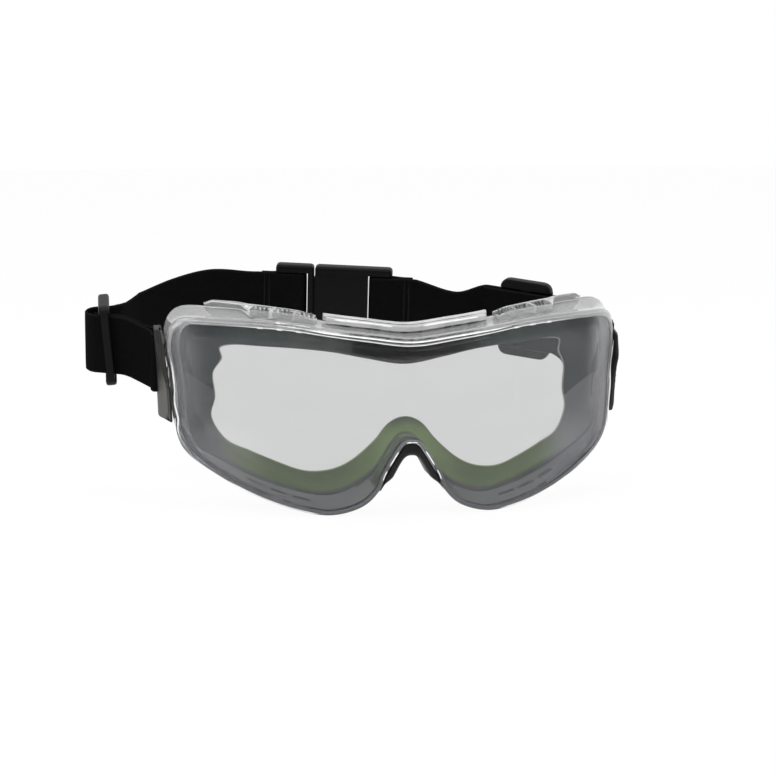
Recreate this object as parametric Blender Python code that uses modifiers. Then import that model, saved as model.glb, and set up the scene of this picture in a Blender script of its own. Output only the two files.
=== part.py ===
"""Safety goggles: clear vented frame, wrap-round lens, dark face seal and elastic strap with a rear buckle.

Frame of the part: X to the viewer's right, +Y towards the wearer's head, +Z up.
The origin lies on the median plane where the brow seal meets the face, at the height of the eyes.
"""
import math

import bmesh
import bpy
from mathutils import Matrix, Vector

MM = 0.001

# Fits
SEAT_GAP = 0.3 * MM
PIN_CLEARANCE = 0.25 * MM

# Lens: a flat sheet bent to a vertical cylinder
LENS_RADIUS = 110.0 * MM
LENS_STANDOFF = 16.0 * MM
LENS_HALF_ARC = 100.0 * MM
LENS_RISE = 24.0 * MM
LENS_DROP = 45.5 * MM
LENS_THICKNESS = 2.2 * MM
LENS_STRIP = 5.0 * MM

# Face opening of the seal, on a cylinder that follows the face
FACE_RADIUS = 86.0 * MM
OPENING_HALF_WIDTH = 72.0 * MM
OPENING_RISE = 15.6 * MM
OPENING_DROP = 32.3 * MM

# Frame body
GROOVE_LIP = 1.6 * MM
GROOVE_WALL = 1.3 * MM
EDGE_LIP = 0.25 * MM
EDGE_PROUD = 0.6 * MM
SHOULDER_DROP = 0.4 * MM
RIM_ROUND = 1.0 * MM
RIM_ROUND_SHARE = 0.45
RIM_LENGTH = 3.2 * MM
FRAME_WALL = 2.0 * MM
RIM_TOP = 4.0 * MM
RIM_SIDE = 6.5 * MM
RIM_BOTTOM = 1.5 * MM
RIM_NOSE = 1.2 * MM
FLARE_BROW = 5.6 * MM
FLARE_TEMPLE = 7.0 * MM
FLARE_SIDE = 3.7 * MM
FLARE_BOTTOM = -1.0 * MM
FLARE_NOSE = 1.4 * MM
DEPTH_BROW = 14.0 * MM
DEPTH_FLAT_FACE = 4.3 * MM
WRAP_SHARE = 0.3
DEPTH_BOTTOM = 19.0 * MM
DEPTH_NOSE = 14.0 * MM

# Face seal and nose pad
SEAL_THICKNESS = 2.2 * MM
SEAL_BULGE = 1.5 * MM

# Clear pieces on the deck
BROW_HEIGHT = 3.0 * MM
BROW_LIFT = 2.0 * MM
VENT_HEIGHT = 3.2 * MM
VENT_CELL = 5.6 * MM
VENT_DEPTH = 4.0 * MM
LOWER_SLOT_LENGTH = 7.0 * MM
LOWER_SLOT_WIDTH = 2.4 * MM

# Strap clips and their pivots
PIVOT_INSET = 3.6 * MM
PIVOT_Z = 3.0 * MM
STRAP_TILT = math.radians(12.0)
LUG_RADIUS = 3.6 * MM
PIN_RADIUS = 2.4 * MM
PIN_LENGTH = 2.0 * MM
CLIP_CLEARANCE = 0.5 * MM
CLIP_FRONT = 11.0 * MM
CLIP_HEIGHT = 31.0 * MM
CLIP_DROP = 0.85 * MM
CLIP_LEAN = 1.6 * MM
CLIP_THIN = 3.5 * MM
CLIP_THICK = 4.8 * MM
CLIP_PLATE = 1.8 * MM
CLIP_LEAF_FRONT = 7.0 * MM
CLIP_LEAF_BACK = 8.0 * MM
CLIP_LEAF_SLOPE = 1.8 * MM
CLIP_BAR = 3.5 * MM
CLIP_BAR_THICKNESS = 3.0 * MM
CLIP_BAR_START = 16.0 * MM
CLIP_SLOT = 5.0 * MM
CLIP_CORNER = 2.0 * MM
CLIP_CHAMFER = 3.0 * MM
CLIP_ROUND = 0.8 * MM
WRAP_ROUND = 0.4 * MM

# Strap
STRAP_WIDTH = 25.0 * MM
STRAP_THICKNESS = 1.2 * MM

# Strap slides
SLIDE_LENGTH = 23.0 * MM
SLIDE_HEIGHT = 34.0 * MM
SLIDE_BAR = 1.3 * MM
SLIDE_PLATE = 3.0 * MM
SLIDE_CORNER = 4.0 * MM
SLIDE_END_BAR = 3.5 * MM
SLIDE_CENTRE_BAR = 4.0 * MM
SLIDE_EDGE_CLEARANCE = 0.7 * MM
TURNED_CLEARANCE = 2.0 * MM
SLIDE_ROUND = 1.0 * MM
LAYER_FRONT = 5.9 * MM
LAYER_TAIL = 3.6 * MM
LAYER_REAR = 4.4 * MM

# Rear buckle
BUCKLE_HEIGHT = 33.0 * MM
BUCKLE_THICKNESS = 6.0 * MM
TONGUE_LENGTH = 16.5 * MM
TONGUE_PLATE = 2.5 * MM
PRONG_LENGTH = 13.5 * MM
PRONG_HEIGHT = 22.0 * MM
PRONG_THICKNESS = 2.4 * MM
BUCKLE_SPLIT = 0.5 * MM
SOCKET_LENGTH = 33.5 * MM
SOCKET_PLATE = 23.0 * MM
BUCKLE_BAR_RADIUS = 1.5 * MM
TONGUE_BAR_AT = 9.0 * MM
SOCKET_BAR_AT = 27.0 * MM
SEAM_LENGTH = 17.0 * MM
BUCKLE_ROUND = 1.6 * MM
BUCKLE_BAR_INSET = 1.5 * MM
SOCKET_RECESS = 1.1 * MM

# Where the strap runs, in its own plane: X across the head, Y back from the pivot axis
SLIDE_LEFT_OUT = 20.9 * MM
SLIDE_LEFT_BACK = 35.3 * MM
SLIDE_LEFT_TURN = math.radians(88.4)
SLIDE_LEFT_ROLL = math.radians(-5.0)
SLIDE_LEFT_ALONG = Vector((0.95, -0.31)).normalized()
SLIDE_RIGHT = Vector((66.0 * MM, 53.2 * MM))
SLIDE_RIGHT_ALONG = Vector((0.84, -0.54)).normalized()
BUCKLE_LEFT = Vector((-37.0 * MM, 90.4 * MM))
BUCKLE_ALONG = Vector((0.975, -0.22)).normalized()
FOLD_AT = 3.2 * MM
FOLD_END_OUT = 6.6 * MM
FOLD_END_BACK = 62.8 * MM
# How far the strap lies above its plane at the slides and at the buckle
LIFT_SLIDE_LEFT = 3.4 * MM
LIFT_SLIDE_RIGHT = 2.6 * MM
LIFT_BUCKLE = 1.6 * MM
LIFT_RUN = 13.0 * MM
FOLD_BEND = [Vector((-1.2 * MM, 5.6 * MM)), Vector((1.5 * MM, 8.4 * MM)), Vector((3.4 * MM, 13.0 * MM))]
RUN_LEFT = [Vector((-85.5 * MM, 76.3 * MM)), Vector((-71.0 * MM, 86.3 * MM)), Vector((-58.0 * MM, 91.1 * MM))]
RUN_RIGHT = Vector((36.5 * MM, 69.8 * MM))
# Tail and running layer of each strap near its clip, and how far they run straight past the slide
TAIL_BY_CLIP_LEFT = Vector((-5.5 * MM, 5.0 * MM))
RUN_BY_CLIP_LEFT = Vector((-3.0 * MM, 3.6 * MM))
TAIL_BY_CLIP_RIGHT = Vector((-1.6 * MM, 9.5 * MM))
RUN_BY_CLIP_RIGHT = Vector((-1.6 * MM, 10.0 * MM))
TAIL_PAST_SLIDE_LEFT = 12.0 * MM
RUN_PAST_SLIDE_LEFT = 11.0 * MM
TAIL_OVERHANG = 1.0 * MM
TAIL_PAST_SLIDE_RIGHT = 18.0 * MM
RUN_PAST_SLIDE_RIGHT = 19.0 * MM

# Half outlines from the top centre round the side and the lobe to the nose arch.
# Across: share of the half width. Up: share of the rise (positive) or of the drop (negative).
LENS_SHAPE = [
    (0.0, 0.746), (0.17, 0.82), (0.32, 0.89), (0.46, 0.966), (0.62, 1.0), (0.80, 1.0), (0.95, 0.96),
    (1.0, 0.70), (0.97, 0.06), (0.957, -0.253), (0.93, -0.46), (0.85, -0.627), (0.725, -0.752),
    (0.57, -0.876), (0.43, -0.956), (0.31, -0.985), (0.20, -0.917), (0.136, -0.787), (0.111, -0.66),
    (0.066, -0.49), (0.034, -0.4), (0.0, -0.382),
]
OPENING_SHAPE = [
    (0.0, 0.628), (0.208, 0.776), (0.38, 0.917), (0.55, 0.985), (0.74, 1.0), (0.88, 0.985), (0.953, 0.87),
    (0.945, 0.60), (0.99, 0.19), (0.98, -0.19), (1.0, -0.45), (0.93, -0.70), (0.81, -0.805),
    (0.65, -0.93), (0.55, -0.995), (0.465, -1.0), (0.367, -0.95), (0.271, -0.826), (0.165, -0.607),
    (0.095, -0.446), (0.035, -0.358), (0.0, -0.334),
]
# Inner arch of the nose pad, from its tip to the apex, in shares of the lens
NOSE_ARCH_SHAPE = [(0.113, -0.825), (0.085, -0.70), (0.052, -0.567), (0.028, -0.512), (0.0, -0.499)]
LAST = len(LENS_SHAPE) - 1
SAMPLES = 2

VENT_SHARE = 0.45

# Stations on the outlines where a stretch of the frame begins or ends
BROW_END, VENT_START, VENT_END, FIN_END = STATIONS = (2.0, 2.3, 4.0, 5.4)
TEMPLE = 8
NOSE_PAD_START = LAST - len(NOSE_ARCH_SHAPE) + 1
LOWER_SLOTS = (12.7, 13.4, 14.1)

for old in list(bpy.data.objects):
    bpy.data.objects.remove(old, do_unlink=True)

goggles = bpy.data.collections.new("safety_goggles")
cutters = bpy.data.collections.new("cutters")
bpy.context.scene.collection.children.link(goggles)
bpy.context.scene.collection.children.link(cutters)


# Materials
def material(name, colour, roughness, alpha=1.0):
    mat = bpy.data.materials.new(name)
    mat.use_nodes = True
    shader = mat.node_tree.nodes["Principled BSDF"]
    shader.inputs["Base Color"].default_value = (*colour, 1.0)
    shader.inputs["Roughness"].default_value = roughness
    shader.inputs["Metallic"].default_value = 0.0
    shader.inputs["Alpha"].default_value = alpha
    mat.diffuse_color = (*colour, alpha)
    return mat


CLEAR = material("clear_vinyl", (0.62, 0.64, 0.65), 0.15, 0.45)
LENS_CLEAR = material("coated_lens", (0.30, 0.33, 0.32), 0.05, 0.4)
SEAL_RUBBER = material("charcoal_seal", (0.03, 0.033, 0.03), 0.55)
PAD_RUBBER = material("black_pad", (0.012, 0.012, 0.012), 0.4)
CLIP_PLASTIC = material("dark_grey_plastic", (0.045, 0.046, 0.045), 0.42)
STRAP_ELASTIC = material("black_elastic", (0.008, 0.008, 0.009), 0.85)


# Mesh helpers
def add_object(name, bm, mat, parent=None, smooth_angle=35.0):
    """Finish a bmesh as a named piece with outward faces."""
    bmesh.ops.recalc_face_normals(bm, faces=bm.faces)
    mesh = bpy.data.meshes.new(name)
    bm.to_mesh(mesh)
    bm.free()
    mesh.materials.append(mat)
    mesh.shade_smooth()
    mesh.set_sharp_from_angle(angle=math.radians(smooth_angle))
    obj = bpy.data.objects.new(name, mesh)
    goggles.objects.link(obj)
    obj.parent = parent
    return obj


def loft(rails, closed=False):
    """Skin a body between rails that run side by side; open rails get flat ends."""
    bm = bmesh.new()
    rows = [[bm.verts.new(point) for point in rail] for rail in rails]
    count = len(rows[0])
    for row, following in zip(rows, rows[1:] + rows[:1]):
        for i in range(count if closed else count - 1):
            j = (i + 1) % count
            bm.faces.new((row[i], row[j], following[j], following[i]))
    if not closed:
        bm.faces.new([row[0] for row in rows])
        bm.faces.new([row[-1] for row in rows])
    return bm


def block(size, centre, turn=None):
    """A plain box, centred and turned."""
    bm = bmesh.new()
    place = Matrix.Translation(centre)
    if turn is not None:
        place = place @ turn.to_4x4()
    bmesh.ops.create_cube(bm, size=1.0, matrix=place @ Matrix.Diagonal((*size, 1.0)))
    return bm


def merge(*parts):
    """Gather several bmeshes into one."""
    whole = bmesh.new()
    for part in parts:
        mesh = bpy.data.meshes.new("joined")
        part.to_mesh(mesh)
        part.free()
        whole.from_mesh(mesh)
        bpy.data.meshes.remove(mesh)
    return whole


def boolean(obj, name, bm, operation="DIFFERENCE"):
    """Cut or join a hidden tool body that moves with its piece."""
    bmesh.ops.recalc_face_normals(bm, faces=bm.faces)
    mesh = bpy.data.meshes.new(name)
    bm.to_mesh(mesh)
    bm.free()
    tool = bpy.data.objects.new(name, mesh)
    cutters.objects.link(tool)
    tool.parent = obj
    tool.hide_render = True
    tool.display_type = "WIRE"
    cut = obj.modifiers.new(name, "BOOLEAN")
    cut.operation = operation
    cut.solver = "EXACT"
    cut.object = tool
    return tool


def soften(obj, width, segments=2):
    """Round a piece's sharp edges."""
    bevel = obj.modifiers.new("rounded_edges", "BEVEL")
    bevel.width = width
    bevel.segments = segments
    bevel.limit_method = "ANGLE"
    bevel.angle_limit = math.radians(40.0)


# Curves
def spline(points, u):
    """Catmull-Rom value at u on a half outline that is mirrored at both ends."""
    i = min(int(u), len(points) - 2)
    t = u - i
    mirror = Vector((-1.0, 1.0))
    before = points[i - 1] if i > 0 else points[1] * mirror
    after = points[i + 2] if i + 2 < len(points) else points[-2] * mirror
    a, b = points[i], points[i + 1]
    return 0.5 * (2 * a + (b - before) * t + (2 * before - 5 * a + 4 * b - after) * t ** 2
                  + (3 * a - before - 3 * b + after) * t ** 3)


def smooth_path(points, per_span=4):
    """Rounded route through hand-picked points in the strap's plane."""
    path = []
    for i in range(len(points) - 1):
        before = points[max(i - 1, 0)]
        a, b = points[i], points[i + 1]
        after = points[min(i + 2, len(points) - 1)]
        for k in range(per_span):
            t = k / per_span
            path.append(0.5 * (2 * a + (b - before) * t + (2 * before - 5 * a + 4 * b - after) * t ** 2
                               + (3 * a - before - 3 * b + after) * t ** 3))
    path.append(points[-1])
    return path


def along(u, stops):
    """Value at station u, eased between the stops (station, value)."""
    for (u0, v0), (u1, v1) in zip(stops, stops[1:]):
        if u <= u1:
            t = max(0.0, (u - u0) / (u1 - u0))
            return v0 + (v1 - v0) * t * t * (3.0 - 2.0 * t)
    return stops[-1][1]


def outline(shape, half_width, rise, drop):
    return [Vector((x * half_width, z * (rise if z > 0 else drop))) for x, z in shape]


LENS_POINTS = outline(LENS_SHAPE, LENS_HALF_ARC, LENS_RISE, LENS_DROP)
OPENING_POINTS = outline(OPENING_SHAPE, OPENING_HALF_WIDTH, OPENING_RISE, OPENING_DROP)


# Surfaces of the frame, at station u of the half outline
def lens_edge(u):
    """Edge of the flat lens and its outward direction."""
    step = 0.02
    at = spline(LENS_POINTS, u)
    ahead = spline(LENS_POINTS, min(u + step, LAST))
    behind = spline(LENS_POINTS, max(u - step, 0.0))
    run = (ahead - behind).normalized()
    if u in (0, LAST):
        run = Vector((1.0, 0.0)) if u == 0 else Vector((-1.0, 0.0))
    return at, Vector((-run.y, run.x))


def on_lens(flat, depth=0.0):
    """A point of the flat sheet bent to the cylinder, depth behind the outer face."""
    angle = flat.x / LENS_RADIUS
    radius = LENS_RADIUS - depth
    return Vector((radius * math.sin(angle), LENS_RADIUS - LENS_STANDOFF - radius * math.cos(angle), flat.y))


def rim_width(u):
    return along(u, [(0, RIM_TOP), (5.5, RIM_TOP), (7.5, RIM_SIDE), (10, RIM_SIDE), (12.5, RIM_BOTTOM),
                     (16, RIM_BOTTOM), (18, RIM_NOSE), (LAST, RIM_NOSE)])


def rim_round(u):
    """Rounding of the rim's outer corner, smaller where the rim is narrow."""
    return min(RIM_ROUND, RIM_ROUND_SHARE * rim_width(u))


def front_lip(u):
    """Reach of the rim over the front of the lens: full along the brow, a thin bead round the rest."""
    return along(u, [(0, GROOVE_LIP), (5.0, GROOVE_LIP), (6.4, EDGE_LIP), (LAST, EDGE_LIP)])


def front_height(u):
    return along(u, [(0, GROOVE_WALL), (5.6, GROOVE_WALL), (6.8, EDGE_PROUD), (LAST, EDGE_PROUD)])


def shoulder(u):
    """Depth of the rim's outer front corner, which falls back along the sides."""
    return along(u, [(0, -GROOVE_WALL), (5.6, -GROOVE_WALL), (7.4, SHOULDER_DROP), (10, SHOULDER_DROP),
                     (12.5, -EDGE_PROUD), (LAST, -EDGE_PROUD)])


def rim_point(u, out, depth):
    edge, normal = lens_edge(u)
    return on_lens(edge + normal * out, depth)


def rim_back(u):
    """Where the rim ends and the deck, side or lower wall begins."""
    return rim_point(u, rim_width(u), 0.0) + Vector((0, RIM_LENGTH, 0))


def opening_edge(u):
    """Edge of the seal that meets the face."""
    flat = spline(OPENING_POINTS, u)
    across = min(abs(flat.x), FACE_RADIUS * 0.98)
    return Vector((flat.x, FACE_RADIUS - math.sqrt(FACE_RADIUS ** 2 - across ** 2), flat.y))


# The more the face wraps round, the deeper the frame at the temples
TEMPLE_DEPTH = DEPTH_FLAT_FACE + WRAP_SHARE * max(opening_edge(u).y for u in range(LAST))


def rear_edge(u, inset=0.0):
    """Rear edge of the frame, where the seal is bonded."""
    edge, normal = lens_edge(u)
    flare = along(u, [(0, FLARE_BROW), (2.5, FLARE_BROW), (5, FLARE_TEMPLE), (5.8, FLARE_TEMPLE),
                      (7, FLARE_SIDE), (10, FLARE_SIDE), (13, FLARE_BOTTOM), (16, FLARE_BOTTOM),
                      (18, FLARE_NOSE), (LAST, FLARE_NOSE)])
    depth = along(u, [(0, DEPTH_BROW), (2, DEPTH_BROW), (5, TEMPLE_DEPTH), (10, TEMPLE_DEPTH),
                      (14, DEPTH_BOTTOM), (16, DEPTH_BOTTOM), (18.5, DEPTH_NOSE), (LAST, DEPTH_NOSE)])
    point = on_lens(edge) + Vector((normal.x, 0, normal.y)) * (flare - inset)
    point.y += depth
    return point


def widest(first, last):
    """Largest distance of the frame and its seal from the median plane, between two stations."""
    stations = [first + (last - first) * k / 20.0 for k in range(21)]
    return max(max(rim_back(u).x, rear_edge(u).x, rim_point(u, rim_width(u), 0.0).x) for u in stations)


def mirrored(point):
    return Vector((-point.x, point.y, point.z))


def ring(place):
    """All stations round the frame: the right half from brow to nose, then the left half back."""
    half = [place(k / SAMPLES) for k in range(LAST * SAMPLES + 1)]
    return half + [mirrored(point) for point in half[-2:0:-1]]


def deck_frame(u, share):
    """Point on the outer wall between rim and rear edge, with its along, back and outward directions."""
    def point(v):
        start = rim_back(v)
        return start + (rear_edge(v) - start) * share
    step = 0.05
    run = (point(min(u + step, LAST)) - point(max(u - step, 0.0))).normalized()
    back = (rear_edge(u) - rim_back(u)).normalized()
    out = back.cross(run).normalized()
    edge, normal = lens_edge(u)
    if out.dot(Vector((normal.x, 0, normal.y))) < 0:
        out = -out
    return point(u), run, out.cross(run).normalized(), out


def on_deck(u, share, height):
    point, run, back, out = deck_frame(abs(u), share)
    lifted = point + out * height
    return mirrored(lifted) if u < 0 else lifted


def both_sides(name, mat, rails):
    """A piece of the right half and its mirror image on the left."""
    right = add_object(name + "_right", loft(rails), mat)
    left = add_object(name + "_left", loft([[mirrored(p) for p in rail] for rail in rails]), mat)
    return left, right


def wall_cutter(u, share, length, width, height, side):
    """A box through the wall at a station, on one side of the frame."""
    point, run, back, out = deck_frame(u, share)
    if side < 0:
        point, run, back, out = (mirrored(v) for v in (point, run, back, out))
    turn = Matrix((run, back, out)).transposed()
    return block((length, width, height), point, turn)


# Frame body: one moulding from the lens groove to the bonded rear edge
def build_frame_shell():
    seat = LENS_THICKNESS + SEAT_GAP
    rails = [
        ring(lambda u: rim_point(u, -front_lip(u), -front_height(u))),
        ring(lambda u: rim_point(u, rim_width(u) - rim_round(u), shoulder(u))),
        ring(lambda u: rim_point(u, rim_width(u), rim_round(u) + shoulder(u))),
        ring(rim_back),
        ring(rear_edge),
        ring(lambda u: rear_edge(u, FRAME_WALL)),
        ring(lambda u: rim_point(u, -GROOVE_LIP, seat + GROOVE_WALL)),
        ring(lambda u: rim_point(u, -GROOVE_LIP, seat)),
        ring(lambda u: rim_point(u, SEAT_GAP, seat)),
        ring(lambda u: rim_point(u, SEAT_GAP, -SEAT_GAP)),
        ring(lambda u: rim_point(u, -front_lip(u), -SEAT_GAP)),
    ]
    shell = add_object("frame_shell", loft(rails, closed=True), CLEAR)
    slots = []
    for side in (1, -1):
        for u in vent_stations():
            slots.append(wall_cutter(u, VENT_SHARE, VENT_CELL, VENT_DEPTH, 6.0 * FRAME_WALL, side))
        for u in LOWER_SLOTS:
            slots.append(wall_cutter(u, 0.5, LOWER_SLOT_LENGTH, LOWER_SLOT_WIDTH, 6.0 * FRAME_WALL, side))
    boolean(shell, "vent_openings", merge(*slots))
    return shell


def vent_stations():
    """Three cells spread evenly over the vent block."""
    pitch = (VENT_END - VENT_START) / 3.0
    return [VENT_START + pitch * (k + 0.5) for k in range(3)]


# Lens: the flat outline cut into narrow strips, bent and thickened
def build_lens():
    bm = bmesh.new()
    half = [lens_edge(k / SAMPLES)[0] for k in range(LAST * SAMPLES + 1)]
    loop = half + [Vector((-p.x, p.y)) for p in half[-2:0:-1]]
    bm.faces.new([bm.verts.new((p.x, 0, p.y)) for p in loop])
    strips = int(2.0 * LENS_HALF_ARC / LENS_STRIP)
    for k in range(1, strips):
        cut = Vector((-LENS_HALF_ARC + k * LENS_STRIP, 0, 0))
        geometry = bm.verts[:] + bm.edges[:] + bm.faces[:]
        bmesh.ops.bisect_plane(bm, geom=geometry, plane_co=cut, plane_no=(1, 0, 0), dist=1e-6)
    for vert in bm.verts:
        vert.co = on_lens(Vector((vert.co.x, vert.co.z)))
    bmesh.ops.recalc_face_normals(bm, faces=bm.faces)
    if sum(face.normal.y * face.calc_area() for face in bm.faces) > 0:
        bmesh.ops.reverse_faces(bm, faces=bm.faces)
    mesh = bpy.data.meshes.new("lens")
    bm.to_mesh(mesh)
    bm.free()
    mesh.materials.append(LENS_CLEAR)
    mesh.shade_smooth()
    mesh.set_sharp_from_angle(angle=math.radians(35.0))
    lens = bpy.data.objects.new("lens", mesh)
    goggles.objects.link(lens)
    sheet = lens.modifiers.new("sheet_thickness", "SOLIDIFY")
    sheet.thickness = LENS_THICKNESS
    sheet.offset = -1.0
    return lens


# Face seal: soft flange bonded to the rear edge of the frame
def build_face_seal():
    def between(u, back):
        middle = (rear_edge(u) + opening_edge(u)) * 0.5
        middle.y = max(rear_edge(u).y, middle.y) + SEAT_GAP + back
        return middle

    behind = Vector((0, SEAT_GAP, 0))
    thick = Vector((0, SEAL_THICKNESS, 0))
    rails = [
        ring(lambda u: rear_edge(u) + behind),
        ring(lambda u: rear_edge(u) + behind + thick),
        ring(lambda u: between(u, SEAL_BULGE + SEAL_THICKNESS)),
        ring(lambda u: opening_edge(u) + thick),
        ring(opening_edge),
        ring(lambda u: between(u, SEAL_BULGE)),
    ]
    return add_object("face_seal", loft(rails, closed=True), SEAL_RUBBER)


# Nose pad: black saddle lining the nose arch of the frame
def build_nose_pad():
    arch = outline(NOSE_ARCH_SHAPE, LENS_HALF_ARC, LENS_RISE, LENS_DROP)
    steps = (LAST - NOSE_PAD_START) * SAMPLES
    stations = [NOSE_PAD_START + k / SAMPLES for k in range(steps + 1)]

    def front(u):
        return rim_point(u, rim_width(u) + SEAT_GAP, 0.0) + Vector((0, RIM_LENGTH * 0.5, 0))

    def back(u):
        return rear_edge(u, -SEAT_GAP)

    def inner(place):
        def point(u):
            flat = spline(arch, u - NOSE_PAD_START)
            return Vector((flat.x, place(u).y, flat.y))
        return point

    def rail(place):
        half = [place(u) for u in stations]
        return half + [mirrored(p) for p in half[-2::-1]]

    rails = [rail(front), rail(back), rail(inner(back)), rail(inner(front))]
    return add_object("nose_pad", loft(rails), PAD_RUBBER)


# Brow cover: clear wing-ended strip on the deck above the nose
def build_brow_cover():
    stations = [BROW_END * (k / 8.0 - 1.0) for k in range(17)]

    def rail(share, height):
        return [on_deck(u, share, SEAT_GAP + height + BROW_LIFT * along(abs(u), [(0.9, 0.0), (BROW_END, 1.0)]))
                for u in stations]

    rails = [rail(0.5, 0.0), rail(0.95, 0.0), rail(0.95, BROW_HEIGHT), rail(0.62, BROW_HEIGHT)]
    return add_object("brow_cover", loft(rails), CLEAR)


# Vent caps: clear blocks with three cells and a fin that runs out along the deck
def build_vent_caps():
    stations = [VENT_START + (FIN_END - VENT_START) * k / 18.0 for k in range(19)]

    def front(u):
        return along(u, [(VENT_START, 0.15), (VENT_END, 0.15), (VENT_END + 0.25, 0.72), (FIN_END, 0.78)])

    def height(u):
        return along(u, [(VENT_START, VENT_HEIGHT * 0.75), (VENT_START + 0.5, VENT_HEIGHT),
                         (FIN_END - 0.3, VENT_HEIGHT), (FIN_END, VENT_HEIGHT * 0.6)])

    rails = [
        [on_deck(u, front(u), SEAT_GAP) for u in stations],
        [on_deck(u, 0.92, SEAT_GAP) for u in stations],
        [on_deck(u, 0.92, height(u)) for u in stations],
        [on_deck(u, front(u) + 0.06, height(u) * 0.8) for u in stations],
    ]
    caps = both_sides("vent_cap", CLEAR, rails)
    for cap, side in zip(caps, (-1, 1)):
        cells = [wall_cutter(u, VENT_SHARE, VENT_CELL, VENT_DEPTH, 4.0 * VENT_HEIGHT, side)
                 for u in vent_stations()]
        boolean(cap, cap.name + "_cells", merge(*cells))
    return caps


CLIP_INNER_X = widest(6.0, 12.0) + CLIP_CLEARANCE
PIVOT_Y = rear_edge(TEMPLE).y - PIVOT_INSET
SLIDE_LEFT = Vector((-CLIP_INNER_X - SLIDE_LEFT_OUT, SLIDE_LEFT_BACK))
FOLD_END = Vector((-CLIP_INNER_X - FOLD_END_OUT, FOLD_END_BACK))


# Strap hardware rides on an empty that lies on the pivot axis
def strap_empty(name):
    empty = bpy.data.objects.new(name, None)
    empty.location = (0, PIVOT_Y, PIVOT_Z)
    empty.rotation_euler = (STRAP_TILT, 0, 0)
    goggles.objects.link(empty)
    return empty


def cylinder_x(radius, start, end, segments=32):
    bm = bmesh.new()
    place = Matrix.Translation(((start + end) * 0.5, 0, 0)) @ Matrix.Rotation(math.pi / 2, 4, "Y")
    bmesh.ops.create_cone(bm, cap_ends=True, segments=segments, radius1=radius, radius2=radius,
                          depth=abs(end - start), matrix=place)
    return bm


# Pivot lugs: round bosses on the frame's sides, each with a pin for the clip
def build_lug(side):
    base_start = widest(7.4, 9.0) + SEAT_GAP
    base_end = CLIP_INNER_X - SEAT_GAP
    lug = add_object("pivot_lug_" + ("right" if side > 0 else "left"),
                     cylinder_x(LUG_RADIUS, side * base_start, side * base_end), CLEAR)
    lug.location = (0, PIVOT_Y, PIVOT_Z)
    pin = cylinder_x(PIN_RADIUS, side * (base_start + base_end) * 0.5, side * (CLIP_INNER_X + PIN_LENGTH))
    boolean(lug, lug.name + "_pin", pin, "UNION")
    return lug


# Clips: tapered plates with a blind pivot hole and a slot and bar for the strap
def build_clip(side, parent):
    rear = CLIP_BAR_START + CLIP_BAR
    top, low = CLIP_HEIGHT * 0.5 - CLIP_DROP, -CLIP_HEIGHT * 0.5 - CLIP_DROP
    nose = [(-CLIP_FRONT, low * 0.55), (-CLIP_FRONT + CLIP_CHAMFER, low), (rear - CLIP_CORNER, low),
            (rear, low + CLIP_CORNER), (rear, top - CLIP_CORNER), (rear - CLIP_CORNER, top),
            (-CLIP_FRONT * 0.35, top), (-CLIP_FRONT, top * 0.35)]

    def inner_x(z):
        return CLIP_INNER_X - CLIP_LEAN * (top - z) / CLIP_HEIGHT

    def outer_x(z):
        return inner_x(z) + CLIP_THIN + (CLIP_THICK - CLIP_THIN) * (z - low) / CLIP_HEIGHT

    rails = [[Vector((side * inner_x(z), y, z)), Vector((side * outer_x(z), y, z))] for y, z in nose]
    clip = add_object("clip_" + ("right" if side > 0 else "left"), loft(rails), CLIP_PLASTIC, parent)
    hole = cylinder_x(PIN_RADIUS + PIN_CLEARANCE, side * (CLIP_INNER_X - CLIP_THICK),
                      side * (CLIP_INNER_X + PIN_LENGTH + SEAT_GAP))
    seat = cylinder_x(LUG_RADIUS + 2.0 * PIN_CLEARANCE, side * (CLIP_INNER_X - CLIP_THICK), side * CLIP_INNER_X)
    window = STRAP_WIDTH + 2.0 * SLIDE_EDGE_CLEARANCE
    slot = block((4.0 * CLIP_THICK, CLIP_SLOT, window),
                 (side * CLIP_INNER_X, CLIP_BAR_START - CLIP_SLOT * 0.5, 0))
    recess = block((2.0 * CLIP_THICK, 2.0 * CLIP_BAR, window),
                   (side * (CLIP_INNER_X + CLIP_BAR_THICKNESS + CLIP_THICK), CLIP_BAR_START + CLIP_BAR, 0))
    inside = block((2.0 * CLIP_THICK, 2.0 * CLIP_BAR, window),
                   (side * (CLIP_INNER_X - CLIP_THICK), CLIP_BAR_START + CLIP_BAR, 0))
    soften(clip, CLIP_ROUND)
    boolean(clip, clip.name + "_leaf", clip_leaf(side, top, low, inner_x, outer_x))
    boolean(clip, clip.name + "_boss_seat", seat)
    boolean(clip, clip.name + "_pivot_hole", hole)
    boolean(clip, clip.name + "_strap_slot", slot)
    boolean(clip, clip.name + "_bar_recess", recess)
    boolean(clip, clip.name + "_inner_recess", inside)
    return clip


def clip_leaf(side, top, low, inner_x, outer_x):
    """Tool that takes the front of a clip down to its plate and leaves a thick leaf with a rounded front."""
    over = CLIP_CHAMFER
    reach = -CLIP_FRONT - over
    heights = [top + over - (top - low + 2.0 * over) * k / 16.0 for k in range(17)]
    floor, roof = [], []
    for z in heights:
        share = min(max((top - z) / CLIP_HEIGHT, 0.0), 1.0)
        y = CLIP_LEAF_BACK - (CLIP_LEAF_FRONT + CLIP_LEAF_BACK) * math.sin(math.pi * share ** 1.3)
        floor.append(Vector((side * (inner_x(z) + CLIP_PLATE), y, z)))
        roof.append(Vector((side * (outer_x(z) + CLIP_PLATE), y + 2.0 * CLIP_LEAF_SLOPE, z)))
    for z in (heights[-1], heights[0]):
        floor.append(Vector((side * (inner_x(z) + CLIP_PLATE), reach, z)))
        roof.append(Vector((side * (outer_x(z) + CLIP_PLATE), reach, z)))
    return loft([[a, b] for a, b in zip(floor, roof)])


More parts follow.
